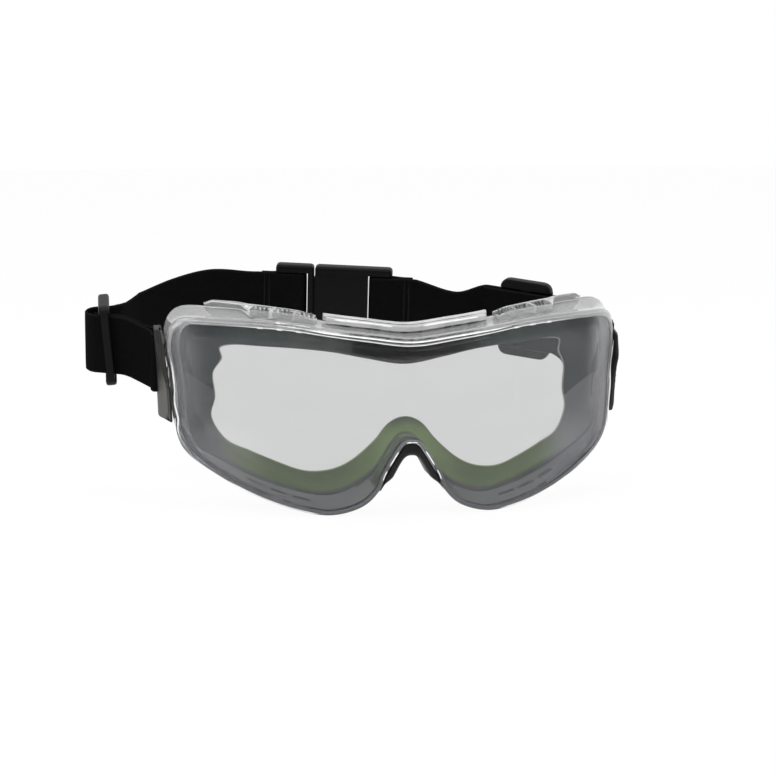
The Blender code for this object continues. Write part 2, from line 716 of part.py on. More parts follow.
# Straps: flat bands that follow a route in the strap's plane
def strap_lift(point):
    """How far the strap lies above its plane at a point of its route."""
    if point.x > 0:
        return along(point.y, [(CLIP_BAR_START + CLIP_BAR, 0.0), (SLIDE_RIGHT.y, LIFT_SLIDE_RIGHT),
                               (BUCKLE_LEFT.y, LIFT_BUCKLE)])
    if point.y < FOLD_END.y * 0.75:
        return along(-point.x - CLIP_INNER_X, [(CLIP_BAR, 0.0), (CLIP_BAR + LIFT_RUN, LIFT_SLIDE_LEFT)])
    return along(point.x, [(SLIDE_LEFT.x, LIFT_SLIDE_LEFT), (BUCKLE_LEFT.x - SEAM_LENGTH, LIFT_BUCKLE)])


def band(name, route, parent):
    rails = [[], [], [], []]
    last = len(route) - 1
    for i, point in enumerate(route):
        run = (route[min(i + 1, last)] - route[max(i - 1, 0)]).normalized()
        side = Vector((-run.y, run.x)) * (STRAP_THICKNESS * 0.5)
        lift = strap_lift(point)
        for rail, (face, edge) in zip(rails, ((1, 1), (1, -1), (-1, -1), (-1, 1))):
            height = lift + edge * STRAP_WIDTH * 0.5
            rail.append(Vector((point.x + face * side.x, point.y + face * side.y, height)))
    return add_object(name, loft(rails), STRAP_ELASTIC, parent)


def arc(centre, start, end, radius, steps):
    """Points on an arc in the strap's plane, angles in degrees."""
    angles = [math.radians(start + (end - start) * k / steps) for k in range(steps + 1)]
    return [centre + Vector((math.cos(a), math.sin(a))) * radius for a in angles]


def clip_wrap(side):
    """Route round the clip's bar, from the outer layer through the slot to the inner layer."""
    reach = SEAT_GAP + STRAP_THICKNESS * 0.5
    x_in, x_out = CLIP_INNER_X, CLIP_INNER_X + CLIP_BAR_THICKNESS
    front, rear = CLIP_BAR_START, CLIP_BAR_START + CLIP_BAR
    route = [Vector((x_out + reach, rear)), Vector((x_out + reach, front + SEAT_GAP))]
    bend = reach + WRAP_ROUND
    route += arc(Vector((x_out - WRAP_ROUND, front + WRAP_ROUND)), -20, -90, bend, 3)
    route += arc(Vector((x_in + WRAP_ROUND, front + WRAP_ROUND)), -90, -160, bend, 3)
    route += [Vector((x_in - reach, front + SEAT_GAP)), Vector((x_in - reach, rear))]
    return [Vector((side * p.x, p.y)) for p in route]


def across_of(direction):
    return Vector((-direction.y, direction.x))


def slide_route(centre, direction, offset, start, end):
    """Straight stretch past a slide, offset across it, between two distances along it."""
    across = across_of(direction) * offset
    return [centre + across + direction * start, centre + across + direction * end]


def buckle_loop(bar_at, facing):
    """Route of a strap end sewn round a buckle bar; facing is -1 for the left half and 1 for the right."""
    origin = BUCKLE_LEFT + BUCKLE_ALONG * bar_at
    back = across_of(BUCKLE_ALONG)
    turn = BUCKLE_BAR_RADIUS + SEAT_GAP + STRAP_THICKNESS * 0.5
    lay = STRAP_THICKNESS * 0.5 + SEAT_GAP * 0.5

    def at(t, n):
        return origin + BUCKLE_ALONG * (facing * t) + back * n

    route = [at(SEAM_LENGTH, -lay), at(SEAM_LENGTH * 0.65, -lay), at(SEAM_LENGTH * 0.3, -turn * 0.9)]
    for k in range(9):
        a = math.pi * k / 8.0
        route.append(at(-turn * math.sin(a), -turn * math.cos(a)))
    return route + [at(SEAM_LENGTH * 0.3, turn * 0.9), at(SEAM_LENGTH * 0.65, lay), at(SEAM_LENGTH * 0.9, lay)]


def build_straps(left, right):
    along_left, across_left = SLIDE_LEFT_ALONG, across_of(SLIDE_LEFT_ALONG)

    def by_slide(forward, across):
        return SLIDE_LEFT + along_left * forward + across_left * across

    wrap = clip_wrap(-1)
    tail = slide_route(SLIDE_LEFT, along_left, -LAYER_TAIL, -FOLD_AT - TAIL_OVERHANG, TAIL_PAST_SLIDE_LEFT)
    front = slide_route(SLIDE_LEFT, along_left, -LAYER_FRONT, RUN_PAST_SLIDE_LEFT, -FOLD_AT)
    to_wrap = smooth_path([tail[1], wrap[-1] + TAIL_BY_CLIP_LEFT, wrap[-1]], 4)
    from_wrap = smooth_path([wrap[0], wrap[0] + RUN_BY_CLIP_LEFT, front[0]], 4)
    band("strap_front_left", [tail[0]] + to_wrap[:-1] + wrap[::-1] + from_wrap[1:] + front[1:], left)

    radius = (LAYER_FRONT + LAYER_REAR) * 0.5
    middle = (LAYER_REAR - LAYER_FRONT) * 0.5
    fold = [by_slide(-FOLD_AT - SEAT_GAP - radius * math.sin(a), middle - radius * math.cos(a))
            for a in (math.pi * k / 10.0 for k in range(11))]
    bend = [fold[-1]] + [by_slide(p.x, p.y) for p in FOLD_BEND] + [FOLD_END]
    band("strap_fold_left", fold[:-1] + smooth_path(bend, 4), left)

    loop = buckle_loop(TONGUE_BAR_AT, -1)
    leave = (FOLD_END - bend[-2]).normalized()
    start = FOLD_END + leave * SEAT_GAP
    run = [start] + RUN_LEFT + [loop[0]]
    band("strap_rear_left", smooth_path(run, 5)[:-1] + loop, left)

    wrap = clip_wrap(1)
    along_right = SLIDE_RIGHT_ALONG
    running = slide_route(SLIDE_RIGHT, along_right, 0.0, RUN_PAST_SLIDE_RIGHT, -RUN_PAST_SLIDE_RIGHT)
    under = -(SLIDE_BAR + 0.5 * (STRAP_THICKNESS + 2.0 * SEAT_GAP) + SEAT_GAP + STRAP_THICKNESS * 0.5)
    tail = slide_route(SLIDE_RIGHT, along_right, under, -TAIL_PAST_SLIDE_RIGHT, TAIL_PAST_SLIDE_RIGHT)
    to_wrap = smooth_path([tail[1], wrap[-1] + TAIL_BY_CLIP_RIGHT, wrap[-1]], 4)
    from_wrap = smooth_path([wrap[0], wrap[0] + RUN_BY_CLIP_RIGHT, running[0]], 4)
    loop = buckle_loop(TONGUE_LENGTH + BUCKLE_SPLIT + SOCKET_BAR_AT, 1)
    run = smooth_path([running[1], RUN_RIGHT, loop[0]], 5)
    front = [tail[0]] + to_wrap[:-1] + wrap[::-1] + from_wrap[1:-1] + running[:1]
    band("strap_right", front + run[:-1] + loop, right)


# Slides: round-cornered frames with two windows for the strap
def slide_body(name, centre, lift, turn, roll, thick, parent):
    """Plate with rounded corners: X along the plate, Y through it, Z across the strap."""
    bm = block((SLIDE_LENGTH, thick, SLIDE_HEIGHT), (0, 0, 0))
    upright = [edge for edge in bm.edges if abs((edge.verts[0].co - edge.verts[1].co).normalized().y) > 0.5]
    bmesh.ops.bevel(bm, geom=upright, offset=SLIDE_CORNER, segments=4, profile=0.5, affect="EDGES", material=-1)
    slide = add_object(name, bm, CLIP_PLASTIC, parent)
    slide.location = (centre.x, centre.y, lift)
    slide.rotation_euler = (roll, 0, turn)
    soften(slide, SLIDE_ROUND)
    return slide


def build_flat_slide(name, centre, direction, lift, parent):
    """The strap runs along the plate: over the centre bar and under the two end bars."""
    channel = STRAP_THICKNESS + 2.0 * SEAT_GAP
    thick = channel + 2.0 * SLIDE_BAR
    window = STRAP_WIDTH + 2.0 * SLIDE_EDGE_CLEARANCE
    slide = slide_body(name, centre, lift, math.atan2(direction.y, direction.x), 0.0, thick, parent)
    outer = block((SLIDE_LENGTH - 2.0 * SLIDE_END_BAR, thick, window), (0, SLIDE_BAR, 0))
    pockets = []
    reach = (SLIDE_LENGTH - SLIDE_CENTRE_BAR) * 0.5
    for end in (-1, 1):
        middle = end * (SLIDE_CENTRE_BAR * 0.5 + reach)
        pockets.append(block((2.0 * reach, thick, window), (middle, -SLIDE_BAR, 0)))
    boolean(slide, name + "_outer_window", outer)
    boolean(slide, name + "_inner_windows", merge(*pockets))
    return slide


def build_turned_slide(name, centre, lift, turn, roll, parent):
    """The plate stands across the strap, which passes through both windows."""
    thick = STRAP_THICKNESS + 2.0 * SEAT_GAP + 2.0 * SLIDE_BAR
    window = STRAP_WIDTH + 2.0 * TURNED_CLEARANCE
    slide = slide_body(name, centre, lift, turn, roll, thick, parent)
    span = (SLIDE_LENGTH - 2.0 * SLIDE_END_BAR - SLIDE_CENTRE_BAR) * 0.5
    windows = []
    waist = []
    for end in (-1, 1):
        windows.append(block((span, 2.0 * thick, window), (end * (SLIDE_CENTRE_BAR + span) * 0.5, 0, 0)))
        waist.append(block((2.0 * SLIDE_LENGTH, thick, window), (0, end * (SLIDE_PLATE + thick) * 0.5, 0)))
    boolean(slide, name + "_windows", merge(*windows))
    boolean(slide, name + "_waist", merge(*waist))
    return slide


# Buckle halves, in their own frame: X along the strap, Y back, Z across its width
def place_on_buckle(obj):
    obj.location = (BUCKLE_LEFT.x, BUCKLE_LEFT.y, LIFT_BUCKLE)
    obj.rotation_euler = (0, 0, math.atan2(BUCKLE_ALONG.y, BUCKLE_ALONG.x))


def buckle_bar(at):
    bm = bmesh.new()
    bmesh.ops.create_cone(bm, cap_ends=True, segments=20, radius1=BUCKLE_BAR_RADIUS, radius2=BUCKLE_BAR_RADIUS,
                          depth=BUCKLE_HEIGHT - 2.0 * BUCKLE_BAR_INSET, matrix=Matrix.Translation((at, 0, 0)))
    return bm


def build_buckle(left, right):
    window = STRAP_WIDTH + 2.0 * SLIDE_EDGE_CLEARANCE
    tongue = add_object("buckle_tongue", block((TONGUE_LENGTH, BUCKLE_THICKNESS, BUCKLE_HEIGHT),
                                               (TONGUE_LENGTH * 0.5, 0, 0)), CLIP_PLASTIC, left)
    place_on_buckle(tongue)
    soften(tongue, BUCKLE_ROUND, 3)
    opening = TONGUE_LENGTH - TONGUE_PLATE
    boolean(tongue, "tongue_window", block((2.0 * opening, 2.0 * BUCKLE_THICKNESS, window), (0, 0, 0)))
    root = TONGUE_PLATE - SEAT_GAP
    prong = block((PRONG_LENGTH + root, PRONG_THICKNESS, PRONG_HEIGHT),
                  (TONGUE_LENGTH + (PRONG_LENGTH - root) * 0.5, 0, 0))
    boolean(tongue, "tongue_prong", prong, "UNION")
    boolean(tongue, "tongue_bar", buckle_bar(TONGUE_BAR_AT), "UNION")

    start = TONGUE_LENGTH + BUCKLE_SPLIT
    socket = add_object("buckle_socket", block((SOCKET_LENGTH, BUCKLE_THICKNESS, BUCKLE_HEIGHT),
                                               (start + SOCKET_LENGTH * 0.5, 0, 0)), CLIP_PLASTIC, right)
    place_on_buckle(socket)
    soften(socket, BUCKLE_ROUND, 3)
    end = start + SOCKET_LENGTH
    reach = SOCKET_LENGTH - SOCKET_PLATE
    boolean(socket, "socket_window", block((2.0 * reach, 2.0 * BUCKLE_THICKNESS, window), (end, 0, 0)))
    depth = TONGUE_LENGTH + PRONG_LENGTH + SEAT_GAP - start
    for face in (-1, 1):
        centre = (start + SOCKET_PLATE * 0.5, face * BUCKLE_THICKNESS * 0.5, 0)
        boolean(socket, "socket_face", block((SOCKET_LENGTH * 2.0, 2.0 * SOCKET_RECESS, window), centre))
    pocket = block((2.0 * depth, PRONG_THICKNESS + 2.0 * SEAT_GAP, PRONG_HEIGHT + 2.0 * SEAT_GAP), (start, 0, 0))
    boolean(socket, "socket_pocket", pocket)
    boolean(socket, "socket_bar", buckle_bar(start + SOCKET_BAR_AT), "UNION")


def main():
    build_frame_shell()
    build_lens()
    build_face_seal()
    build_nose_pad()
    build_brow_cover()
    build_vent_caps()
    left = strap_empty("strap_axis_left")
    right = strap_empty("strap_axis_right")
    for side, parent in ((-1, left), (1, right)):
        build_lug(side)
        build_clip(side, parent)
    build_straps(left, right)
    build_turned_slide("slide_left", SLIDE_LEFT, LIFT_SLIDE_LEFT, SLIDE_LEFT_TURN, SLIDE_LEFT_ROLL, left)
    build_flat_slide("slide_right", SLIDE_RIGHT, SLIDE_RIGHT_ALONG, LIFT_SLIDE_RIGHT, right)
    build_buckle(left, right)


main()
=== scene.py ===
"""Looks of the safety goggles: clear vented frame, coated lens, dark seal, woven strap and moulded hardware."""

import math

import bmesh
import bpy
from mathutils import Matrix, Vector


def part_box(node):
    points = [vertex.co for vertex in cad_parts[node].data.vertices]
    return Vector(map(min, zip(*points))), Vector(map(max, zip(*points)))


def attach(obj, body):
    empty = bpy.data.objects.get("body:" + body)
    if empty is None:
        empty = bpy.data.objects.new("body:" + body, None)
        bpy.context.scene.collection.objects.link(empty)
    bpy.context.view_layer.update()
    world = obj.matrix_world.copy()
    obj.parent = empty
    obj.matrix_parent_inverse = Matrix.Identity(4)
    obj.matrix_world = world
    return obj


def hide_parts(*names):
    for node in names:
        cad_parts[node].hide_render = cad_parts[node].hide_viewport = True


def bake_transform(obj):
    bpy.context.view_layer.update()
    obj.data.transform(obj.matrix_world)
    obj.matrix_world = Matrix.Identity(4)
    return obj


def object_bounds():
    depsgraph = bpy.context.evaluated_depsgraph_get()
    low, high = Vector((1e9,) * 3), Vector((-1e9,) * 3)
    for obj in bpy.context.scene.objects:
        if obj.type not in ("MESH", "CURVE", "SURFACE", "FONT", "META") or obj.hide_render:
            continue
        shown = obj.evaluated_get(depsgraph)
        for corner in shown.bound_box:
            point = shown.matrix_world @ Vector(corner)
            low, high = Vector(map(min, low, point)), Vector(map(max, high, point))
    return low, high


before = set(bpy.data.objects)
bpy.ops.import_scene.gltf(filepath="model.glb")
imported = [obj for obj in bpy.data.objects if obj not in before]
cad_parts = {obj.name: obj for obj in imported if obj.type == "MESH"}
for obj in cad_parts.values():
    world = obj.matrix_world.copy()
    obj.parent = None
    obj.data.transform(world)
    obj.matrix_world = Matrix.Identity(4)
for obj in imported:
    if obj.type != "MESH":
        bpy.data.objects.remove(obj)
CAD_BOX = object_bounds()

bl_info = {
    "name": "Safety goggles",
    "version": (1, 0, 0),
    "blender": (4, 5, 0),
    "location": "3D View > Sidebar > Goggles",
    "description": "Builds the finished surfaces of a pair of vented safety goggles",
    "category": "Add Mesh",
}

MM = 0.001
SEAT_GAP = 0.3 * MM

# Lens sheet and face opening
LENS_RADIUS = 110.0 * MM
LENS_STANDOFF = 16.0 * MM
LENS_HALF_ARC = 100.0 * MM
LENS_RISE = 24.0 * MM
LENS_DROP = 45.5 * MM
LENS_THICKNESS = 2.2 * MM
LENS_STRIP = 2.0 * MM
FACE_RADIUS = 86.0 * MM
OPENING_HALF_WIDTH = 72.0 * MM
OPENING_RISE = 15.6 * MM
OPENING_DROP = 32.3 * MM

# Frame moulding
BACK_LIP = 0.5 * MM
GROOVE_WALL = 1.3 * MM
EDGE_LIP = 0.25 * MM
EDGE_PROUD = 0.6 * MM
SHOULDER_DROP = 0.4 * MM
RIM_ROUND = 1.0 * MM
RIM_ROUND_SHARE = 0.45
LENS_REACH = 2.6 * MM
LENS_REACH_BROW = 1.5 * MM
LENS_REACH_CENTRE = 0.9 * MM
RIM_LENGTH = 3.2 * MM
FRAME_WALL = 2.0 * MM
RIM_TOP = 4.0 * MM
RIM_SIDE = 6.5 * MM
WAIST = 1.9 * MM
RIM_BOTTOM = 1.5 * MM
RIM_NOSE = 1.2 * MM
FLARE_BROW = 5.6 * MM
FLARE_TEMPLE = 7.0 * MM
FLARE_SIDE = 3.7 * MM
FLARE_BOTTOM = -1.0 * MM
FLARE_NOSE = 1.4 * MM
DEPTH_BROW = 14.0 * MM
DEPTH_FLAT_FACE = 4.3 * MM
WRAP_SHARE = 0.3
DEPTH_BOTTOM = 19.0 * MM
DEPTH_NOSE = 14.0 * MM
LIP_ROLL = 0.12 * MM
WAVE_SWING, WAVE_PACE = 0.13, 4.4
BEAD_PLAIN, BEAD_WAVED = 0.7, 0.3
BEAD_SWING, BEAD_PACE, BEAD_START = 0.6, 5.3, 1.0
CUTTER_HEIGHT = 6.0 * FRAME_WALL

# Rails across the rim's front: share of the way, swell of the bead at the temples, line of the grooves at the brow
FRONT_RAILS = [
    (0.06, 0.0, 0.0), (0.18, 0.35 * MM, -0.45 * MM), (0.3, 0.6 * MM, -0.2 * MM), (0.4, 0.7 * MM, 0.5 * MM),
    (0.48, 0.7 * MM, 0.6 * MM), (0.56, 0.7 * MM, 0.2 * MM), (0.66, 0.65 * MM, -0.5 * MM),
    (0.8, 0.4 * MM, -0.55 * MM), (0.92, 0.2 * MM, -0.2 * MM), (1.0, 0.0, 0.0),
]
# Rails round the rim's outer corner, as shares of its radius inwards and back
CORNER_RAILS = [(0.5, 0.13), (0.13, 0.5), (0.0, 1.0)]
# Rails along the outer wall: share of the way back and lift off it
WALL_RAILS = [(0.0, 0.0), (0.12, -0.15 * MM), (0.5, 0.0), (0.9, 0.0)]

# Seal and clear pieces on the deck
SEAL_THICKNESS = 2.2 * MM
SEAL_BULGE = 1.5 * MM
SEAL_SHARES = [0.03, 0.12, 0.25, 0.4, 0.55, 0.7, 0.82, 0.92, 0.98]
SEAL_ROOT_DEPTH = 0.5 * SEAL_THICKNESS
SEAL_EDGE_DEPTHS = (0.35 * SEAL_THICKNESS, 0.65 * SEAL_THICKNESS)
BROW_HEIGHT = 3.0 * MM
BROW_LIFT = 0.1 * MM
BROW_LIFT_FROM = 0.9
# Layers of the brow bridge: start and end on the deck, base, height and reach along the brow
BRIDGE_LAYERS = [(0.5, 0.78, 0.0, BROW_HEIGHT - 0.6 * MM, 0.97), (0.72, 0.95, 0.7 * MM, BROW_HEIGHT - 0.7 * MM, 1.0)]
BRIDGE_LINE_REACH = 0.96
# Glints: pale rods along the bridge, painted highlights
GLINT_START, GLINT_RUN, GLINT_SHARE = 0.3, 1.6, 0.53
GLINT_HEIGHT = BROW_HEIGHT - 0.85 * MM
GLINT_RADIUS = 0.34 * MM
VENT_HEIGHT = 3.2 * MM
VENT_CELL = 5.6 * MM
VENT_DEPTH = 4.0 * MM
VENT_SHARE = 0.45
VENT_OPEN_LENGTH, VENT_OPEN_DEPTH = 1.45 * VENT_CELL, 1.2 * VENT_DEPTH
VENT_FRONT, VENT_BACK = 0.15, 0.92
FIN_FRONT, FIN_TIP = 0.78, 0.84
VENT_START_HEIGHT, FIN_TIP_HEIGHT = 0.75 * VENT_HEIGHT, 0.6 * VENT_HEIGHT
LOUVRE_RADIUS = 0.45 * MM
LOUVRE_STARTS = (-1.0, -0.35, 0.3)
LOUVRE_SLANT = 0.6
LOUVRE_FRONT, LOUVRE_BACK = 0.95, 1.05
LOWER_SLOT_SHARE = 0.5
LOWER_SLOT_LENGTH = 7.0 * MM
LOWER_SLOT_WIDTH = 2.4 * MM

# Strap hardware
PIVOT_Y = sum(corner.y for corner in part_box("pivot_lug_right")) * 0.5
PIVOT_Z = 3.0 * MM
STRAP_TILT = math.radians(12.0)
CLIP_INNER_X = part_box("pivot_lug_right")[1].x - 2.0 * MM
LUG_RADIUS = 3.4 * MM
LUG_LENGTH = 0.9 * MM
CLIP_FRONT = 11.0 * MM
# The clip's lists give shares of its height from the top, each with a distance or, for the plate, a factor
CLIP_FRONT_LINE = [(0.0, -5.0 * MM), (0.3, -CLIP_FRONT), (0.88, -CLIP_FRONT), (1.0, -10.0 * MM)]
CLIP_HEIGHT = 31.0 * MM
CLIP_DROP = 0.85 * MM
CLIP_LEAN = 1.6 * MM
CLIP_HEEL = 8.0 * MM
CLIP_TRIM = [(0.0, 0.0), (0.35, 1.3 * MM), (0.6, 0.7 * MM), (1.0, 0.5 * MM)]
CLIP_THIN = 2.9 * MM
CLIP_THICK = 3.2 * MM
CLIP_PLATE = 0.9 * MM
CLIP_PLATE_RIGHT = [(0.0, 0.9), (0.35, 2.0), (1.0, 2.5)]
CLIP_EDGE = 0.4 * MM
CLIP_NOSE = 0.15 * MM
CLIP_STEP = 4.0 * MM
CLIP_SWING = 2.5 * MM
CLIP_SEAT_FROM, CLIP_SEAT_STEP, CLIP_SEAT_STATIONS = 5.6, 0.08, 90
CLIP_ROUND = 0.8 * MM
CLIP_LEAF = [(0.0, 12.0 * MM), (0.1, 11.5 * MM), (0.6, -8.5 * MM), (0.85, -8.5 * MM), (1.0, -2.0 * MM)]
LEAF_RUN = 1.3 * MM
LEAF_CLEAR = 1.0 * MM
CLIP_SLOT = 2.8 * MM
CLIP_BAR = 3.5 * MM
CLIP_BAR_THICKNESS = 3.0 * MM
CLIP_BAR_START = 16.0 * MM
WRAP_ROUND = 0.4 * MM
STRAP_WIDTH = 25.0 * MM
STRAP_THICKNESS = 1.2 * MM
CLIP_WINDOW = STRAP_WIDTH * 0.5 + 0.7 * MM
CLIP_CUT_LAP = 1.0 * MM
SLIDE_BAR = 1.3 * MM
LAYER_FRONT = 5.9 * MM
LAYER_TAIL = 3.6 * MM
LAYER_REAR = 4.4 * MM
LAYER_UNDER = SLIDE_BAR + 0.5 * (STRAP_THICKNESS + 2.0 * SEAT_GAP) + SEAT_GAP + STRAP_THICKNESS * 0.5
TONGUE_LENGTH = 16.5 * MM
BUCKLE_SPLIT = 0.5 * MM
BUCKLE_BAR_RADIUS = 1.5 * MM
TONGUE_BAR_AT = 9.0 * MM
SOCKET_BAR_AT = TONGUE_LENGTH + BUCKLE_SPLIT + 27.0 * MM
SEAM_LENGTH = 17.0 * MM
STITCH_ROWS = (0.7, 0.82)
STITCH_REACH = 0.47
LOOP_NOSE_LEFT = 1.6
LOOP_NOSE_RIGHT = 1.25
THREAD_RADIUS = 0.3 * MM

# Route of the strap in its own plane
SLIDE_LEFT = Vector((-CLIP_INNER_X - 20.9 * MM, 35.3 * MM))
SLIDE_LEFT_ALONG = Vector((0.95, -0.31)).normalized()
SLIDE_RIGHT = Vector((66.0 * MM, 53.2 * MM))
SLIDE_RIGHT_ALONG = Vector((0.84, -0.54)).normalized()
BUCKLE_LEFT = Vector((-37.0 * MM, 90.4 * MM))
BUCKLE_ALONG = Vector((0.975, -0.22)).normalized()
FOLD_AT = 3.2 * MM
FOLD_END = Vector((-CLIP_INNER_X - 6.6 * MM, 62.8 * MM))
LIFT_SLIDE_LEFT = 3.4 * MM
LIFT_SLIDE_RIGHT = 2.6 * MM
LIFT_BUCKLE = 1.6 * MM
LIFT_FOLD = 0.6 * LIFT_SLIDE_LEFT
LIFT_FOLD_FROM = 0.75 * FOLD_END.y
FOLD_REST = 6.0 * MM
SAG_AT = 36.0 * MM
SAG = 4.2 * MM
SLIDE_REST = 9.5 * MM
BACK_SAG_AT = 69.0 * MM
BACK_SAG = 2.2 * MM
BACK_SAG_RUN = 9.0 * MM
HUMP_AT = -68.0 * MM
HUMP = 3.8 * MM
LIFT_RUN = 13.0 * MM
FOLD_BEND = [Vector((-1.2 * MM, 5.6 * MM)), Vector((1.5 * MM, 8.4 * MM)), Vector((3.4 * MM, 13.0 * MM))]
RUN_LEFT = [Vector((-85.5 * MM, 76.3 * MM)), Vector((-71.0 * MM, 86.3 * MM)), Vector((-58.0 * MM, 91.1 * MM))]
RUN_RIGHT = Vector((36.5 * MM, 69.8 * MM))
TAIL_BY_CLIP_LEFT = Vector((-5.5 * MM, 5.0 * MM))
RUN_BY_CLIP_LEFT = Vector((-3.0 * MM, 3.6 * MM))
TAIL_BY_CLIP_RIGHT = Vector((-1.6 * MM, 9.5 * MM))
RUN_BY_CLIP_RIGHT = Vector((-1.6 * MM, 10.0 * MM))
TAIL_PAST_SLIDE_LEFT = 12.0 * MM
RUN_PAST_SLIDE_LEFT = 11.0 * MM
TAIL_OVERHANG = 1.0 * MM
TAIL_PAST_SLIDE_RIGHT = 18.0 * MM
RUN_PAST_SLIDE_RIGHT = 19.0 * MM

# Half outlines from the top centre round the side and the lobe to the nose arch, as shares of the sizes above
LENS_SHAPE = [
    (0.0, 0.746), (0.17, 0.82), (0.32, 0.89), (0.46, 0.966), (0.62, 1.0), (0.80, 1.0), (0.95, 0.96),
    (1.0, 0.70), (0.97, 0.06), (0.957, -0.253), (0.93, -0.46), (0.85, -0.627), (0.725, -0.752),
    (0.57, -0.876), (0.43, -0.956), (0.31, -0.985), (0.20, -0.917), (0.136, -0.787), (0.111, -0.66),
    (0.066, -0.49), (0.034, -0.4), (0.0, -0.382),
]
OPENING_SHAPE = [
    (0.0, 0.628), (0.208, 0.776), (0.38, 0.917), (0.55, 0.985), (0.74, 1.0), (0.88, 0.985), (0.953, 0.87),
    (0.945, 0.60), (0.99, 0.19), (0.98, -0.19), (1.0, -0.45), (0.93, -0.70), (0.81, -0.805),
    (0.65, -0.93), (0.55, -0.995), (0.465, -1.0), (0.367, -0.95), (0.271, -0.826), (0.165, -0.607),
    (0.105, -0.44), (0.05, -0.355), (0.0, -0.332),
]
NOSE_ARCH_SHAPE = [(0.102, -0.825), (0.072, -0.70), (0.041, -0.575), (0.021, -0.524), (0.0, -0.512)]
# Stations count the points of the half outlines, with fractions between them
LAST = len(LENS_SHAPE) - 1
BROW_END = 2.08
VENT_START = 2.3
VENT_END = 4.0
FIN_END = 5.15
NOSE_PAD_START = LAST - len(NOSE_ARCH_SHAPE) + 1
# Section of the nose saddle: share of the way to the arch and from front to back
SADDLE_SECTION = [
    (0.0, 0.04), (0.0, 0.35), (0.0, 0.7), (0.0, 0.96), (0.2, 1.0), (0.8, 1.0), (1.0, 0.95), (1.0, 0.7), (0.94, 0.5),
    (1.0, 0.3), (1.0, 0.06), (0.8, 0.0), (0.2, 0.0),
]
SADDLE_TAPER = [(NOSE_PAD_START, 0.06), (NOSE_PAD_START + 1.1, 1.0)]
LOWER_SLOTS = (12.7, 13.4, 14.1)
# Small tabs under the brow, painted pale as highlights
TAB_STATIONS = (2.8, 3.3, 3.8)
TAB_SIZE = (2.3 * MM, 0.6 * MM, 0.5 * MM)
TAB_BEVEL = 0.15 * MM
TAB_DROP = 0.3 * MM
TAB_DEPTH = -0.7 * MM
# Painted dark lines on the brow bridge: share of the deck, height and radius
BRIDGE_LINES = [(0.47, 0.4 * MM, 0.3 * MM), (0.73, 2.6 * MM, 0.22 * MM)]
STRAND_START, STRAND_END = 7.2, 9.8
STRAND_DEPTH = -0.75 * MM
STRAND_ROLL, STRAND_ROLL_PACE = 0.2 * MM, 1.7
# Painted highlights and painted dark lines along the wavy edges at the temples: side, distance out, swing, pace, start
# and radius
PALE_STRANDS = [(-1, 3.3 * MM, 0.35 * MM, 4.6, 0.6, 0.38 * MM), (1, 4.0 * MM, 0.15 * MM, 3.0, 0.3, 0.3 * MM)]
DARK_STRANDS = [(-1, 4.1 * MM, 0.35 * MM, 4.6, 0.9, 0.2 * MM)]
# Painted highlights along the lower rim and the nose arch: first and last station and radius
EDGE_LINES = [(12.0, 14.6, 0.16 * MM), (17.6, 18.2, 0.22 * MM), (18.4, 19.2, 0.26 * MM), (20.3, 21.0, 0.2 * MM)]
EDGE_LINE_SHARE = 0.7
# Painted highlights and painted dark lines along the brow's rim: share across its front, depth, radius and reach
PALE_LINES = [(0.72, -0.55 * MM, 0.26 * MM, 2.6), (0.14, -0.4 * MM, 0.14 * MM, 4.6)]
DARK_LINES = [(0.44, 0.3 * MM, 0.3 * MM, 2.9), (1.15, 0.1 * MM, 0.3 * MM, 1.7)]
SAMPLES = 6

# Tones of the finishes
# Painted light on the flange's sides below the strap, brighter at the right
SEAL_PATCH_LIT_LEFT, SEAL_PATCH_LIT_RIGHT = (0.13, 0.135, 0.14), (0.37, 0.37, 0.39)
SEAL_ROOT = (0.15, 0.15, 0.165)
# Painted shade at the brow, in steps at the left that stand for reflections of the strap
SEAL_BROW_OUTER_SHADE, SEAL_BROW_INNER_SHADE = (0.06, 0.06, 0.056), (0.085, 0.085, 0.08)
SEAL_BROW_SHADE = (0.03, 0.03, 0.029)
SEAL_BEHIND = (0.032, 0.035, 0.035)
SEAL_SPECK = (0.03, 0.033, 0.03)
# Painted highlight for the flange's lip
SEAL_LIP_HIGHLIGHT = (0.6, 0.6, 0.55)
# Painted light for the lens's sides and painted shade for under its brow
LENS_SIDE_LIGHT, LENS_BROW_SHADE = (0.58, 0.58, 0.6), (0.02, 0.02, 0.02)
PAD_DARK, PAD_LIGHT = (0.003, 0.003, 0.003), (0.008, 0.008, 0.008)
# The tone of the band's edges is a painted sheen
WEAVE_DARK, SELVEDGE_SHEEN = (0.001, 0.001, 0.0012), (0.012, 0.012, 0.013)
CORD_PITCH, WEFT_PITCH = 0.8, 0.55

# Stage: each lamp's name, place, size, power and whether gloss mirrors it
LAMPS = [
    ("key_light", (-0.5, -0.7, 0.9), 0.7, 5.0, False), ("fill_light", (0.8, -0.5, 0.5), 0.6, 2.5, False),
    ("top_light", (0.0, 0.2, 1.1), 0.6, 4.0, True),
]
LAMP_AIM = Vector((0, 0.04, 0))
SENSOR_WIDTH = 36.0
ROOM_LIGHT = 0.75
ROOM_MIRRORED_DIM = 0.2
FLOOR_RADIUS = 3.0
FLOOR_GAP = 0.5 * MM
FLOOR_WHITE = 0.95


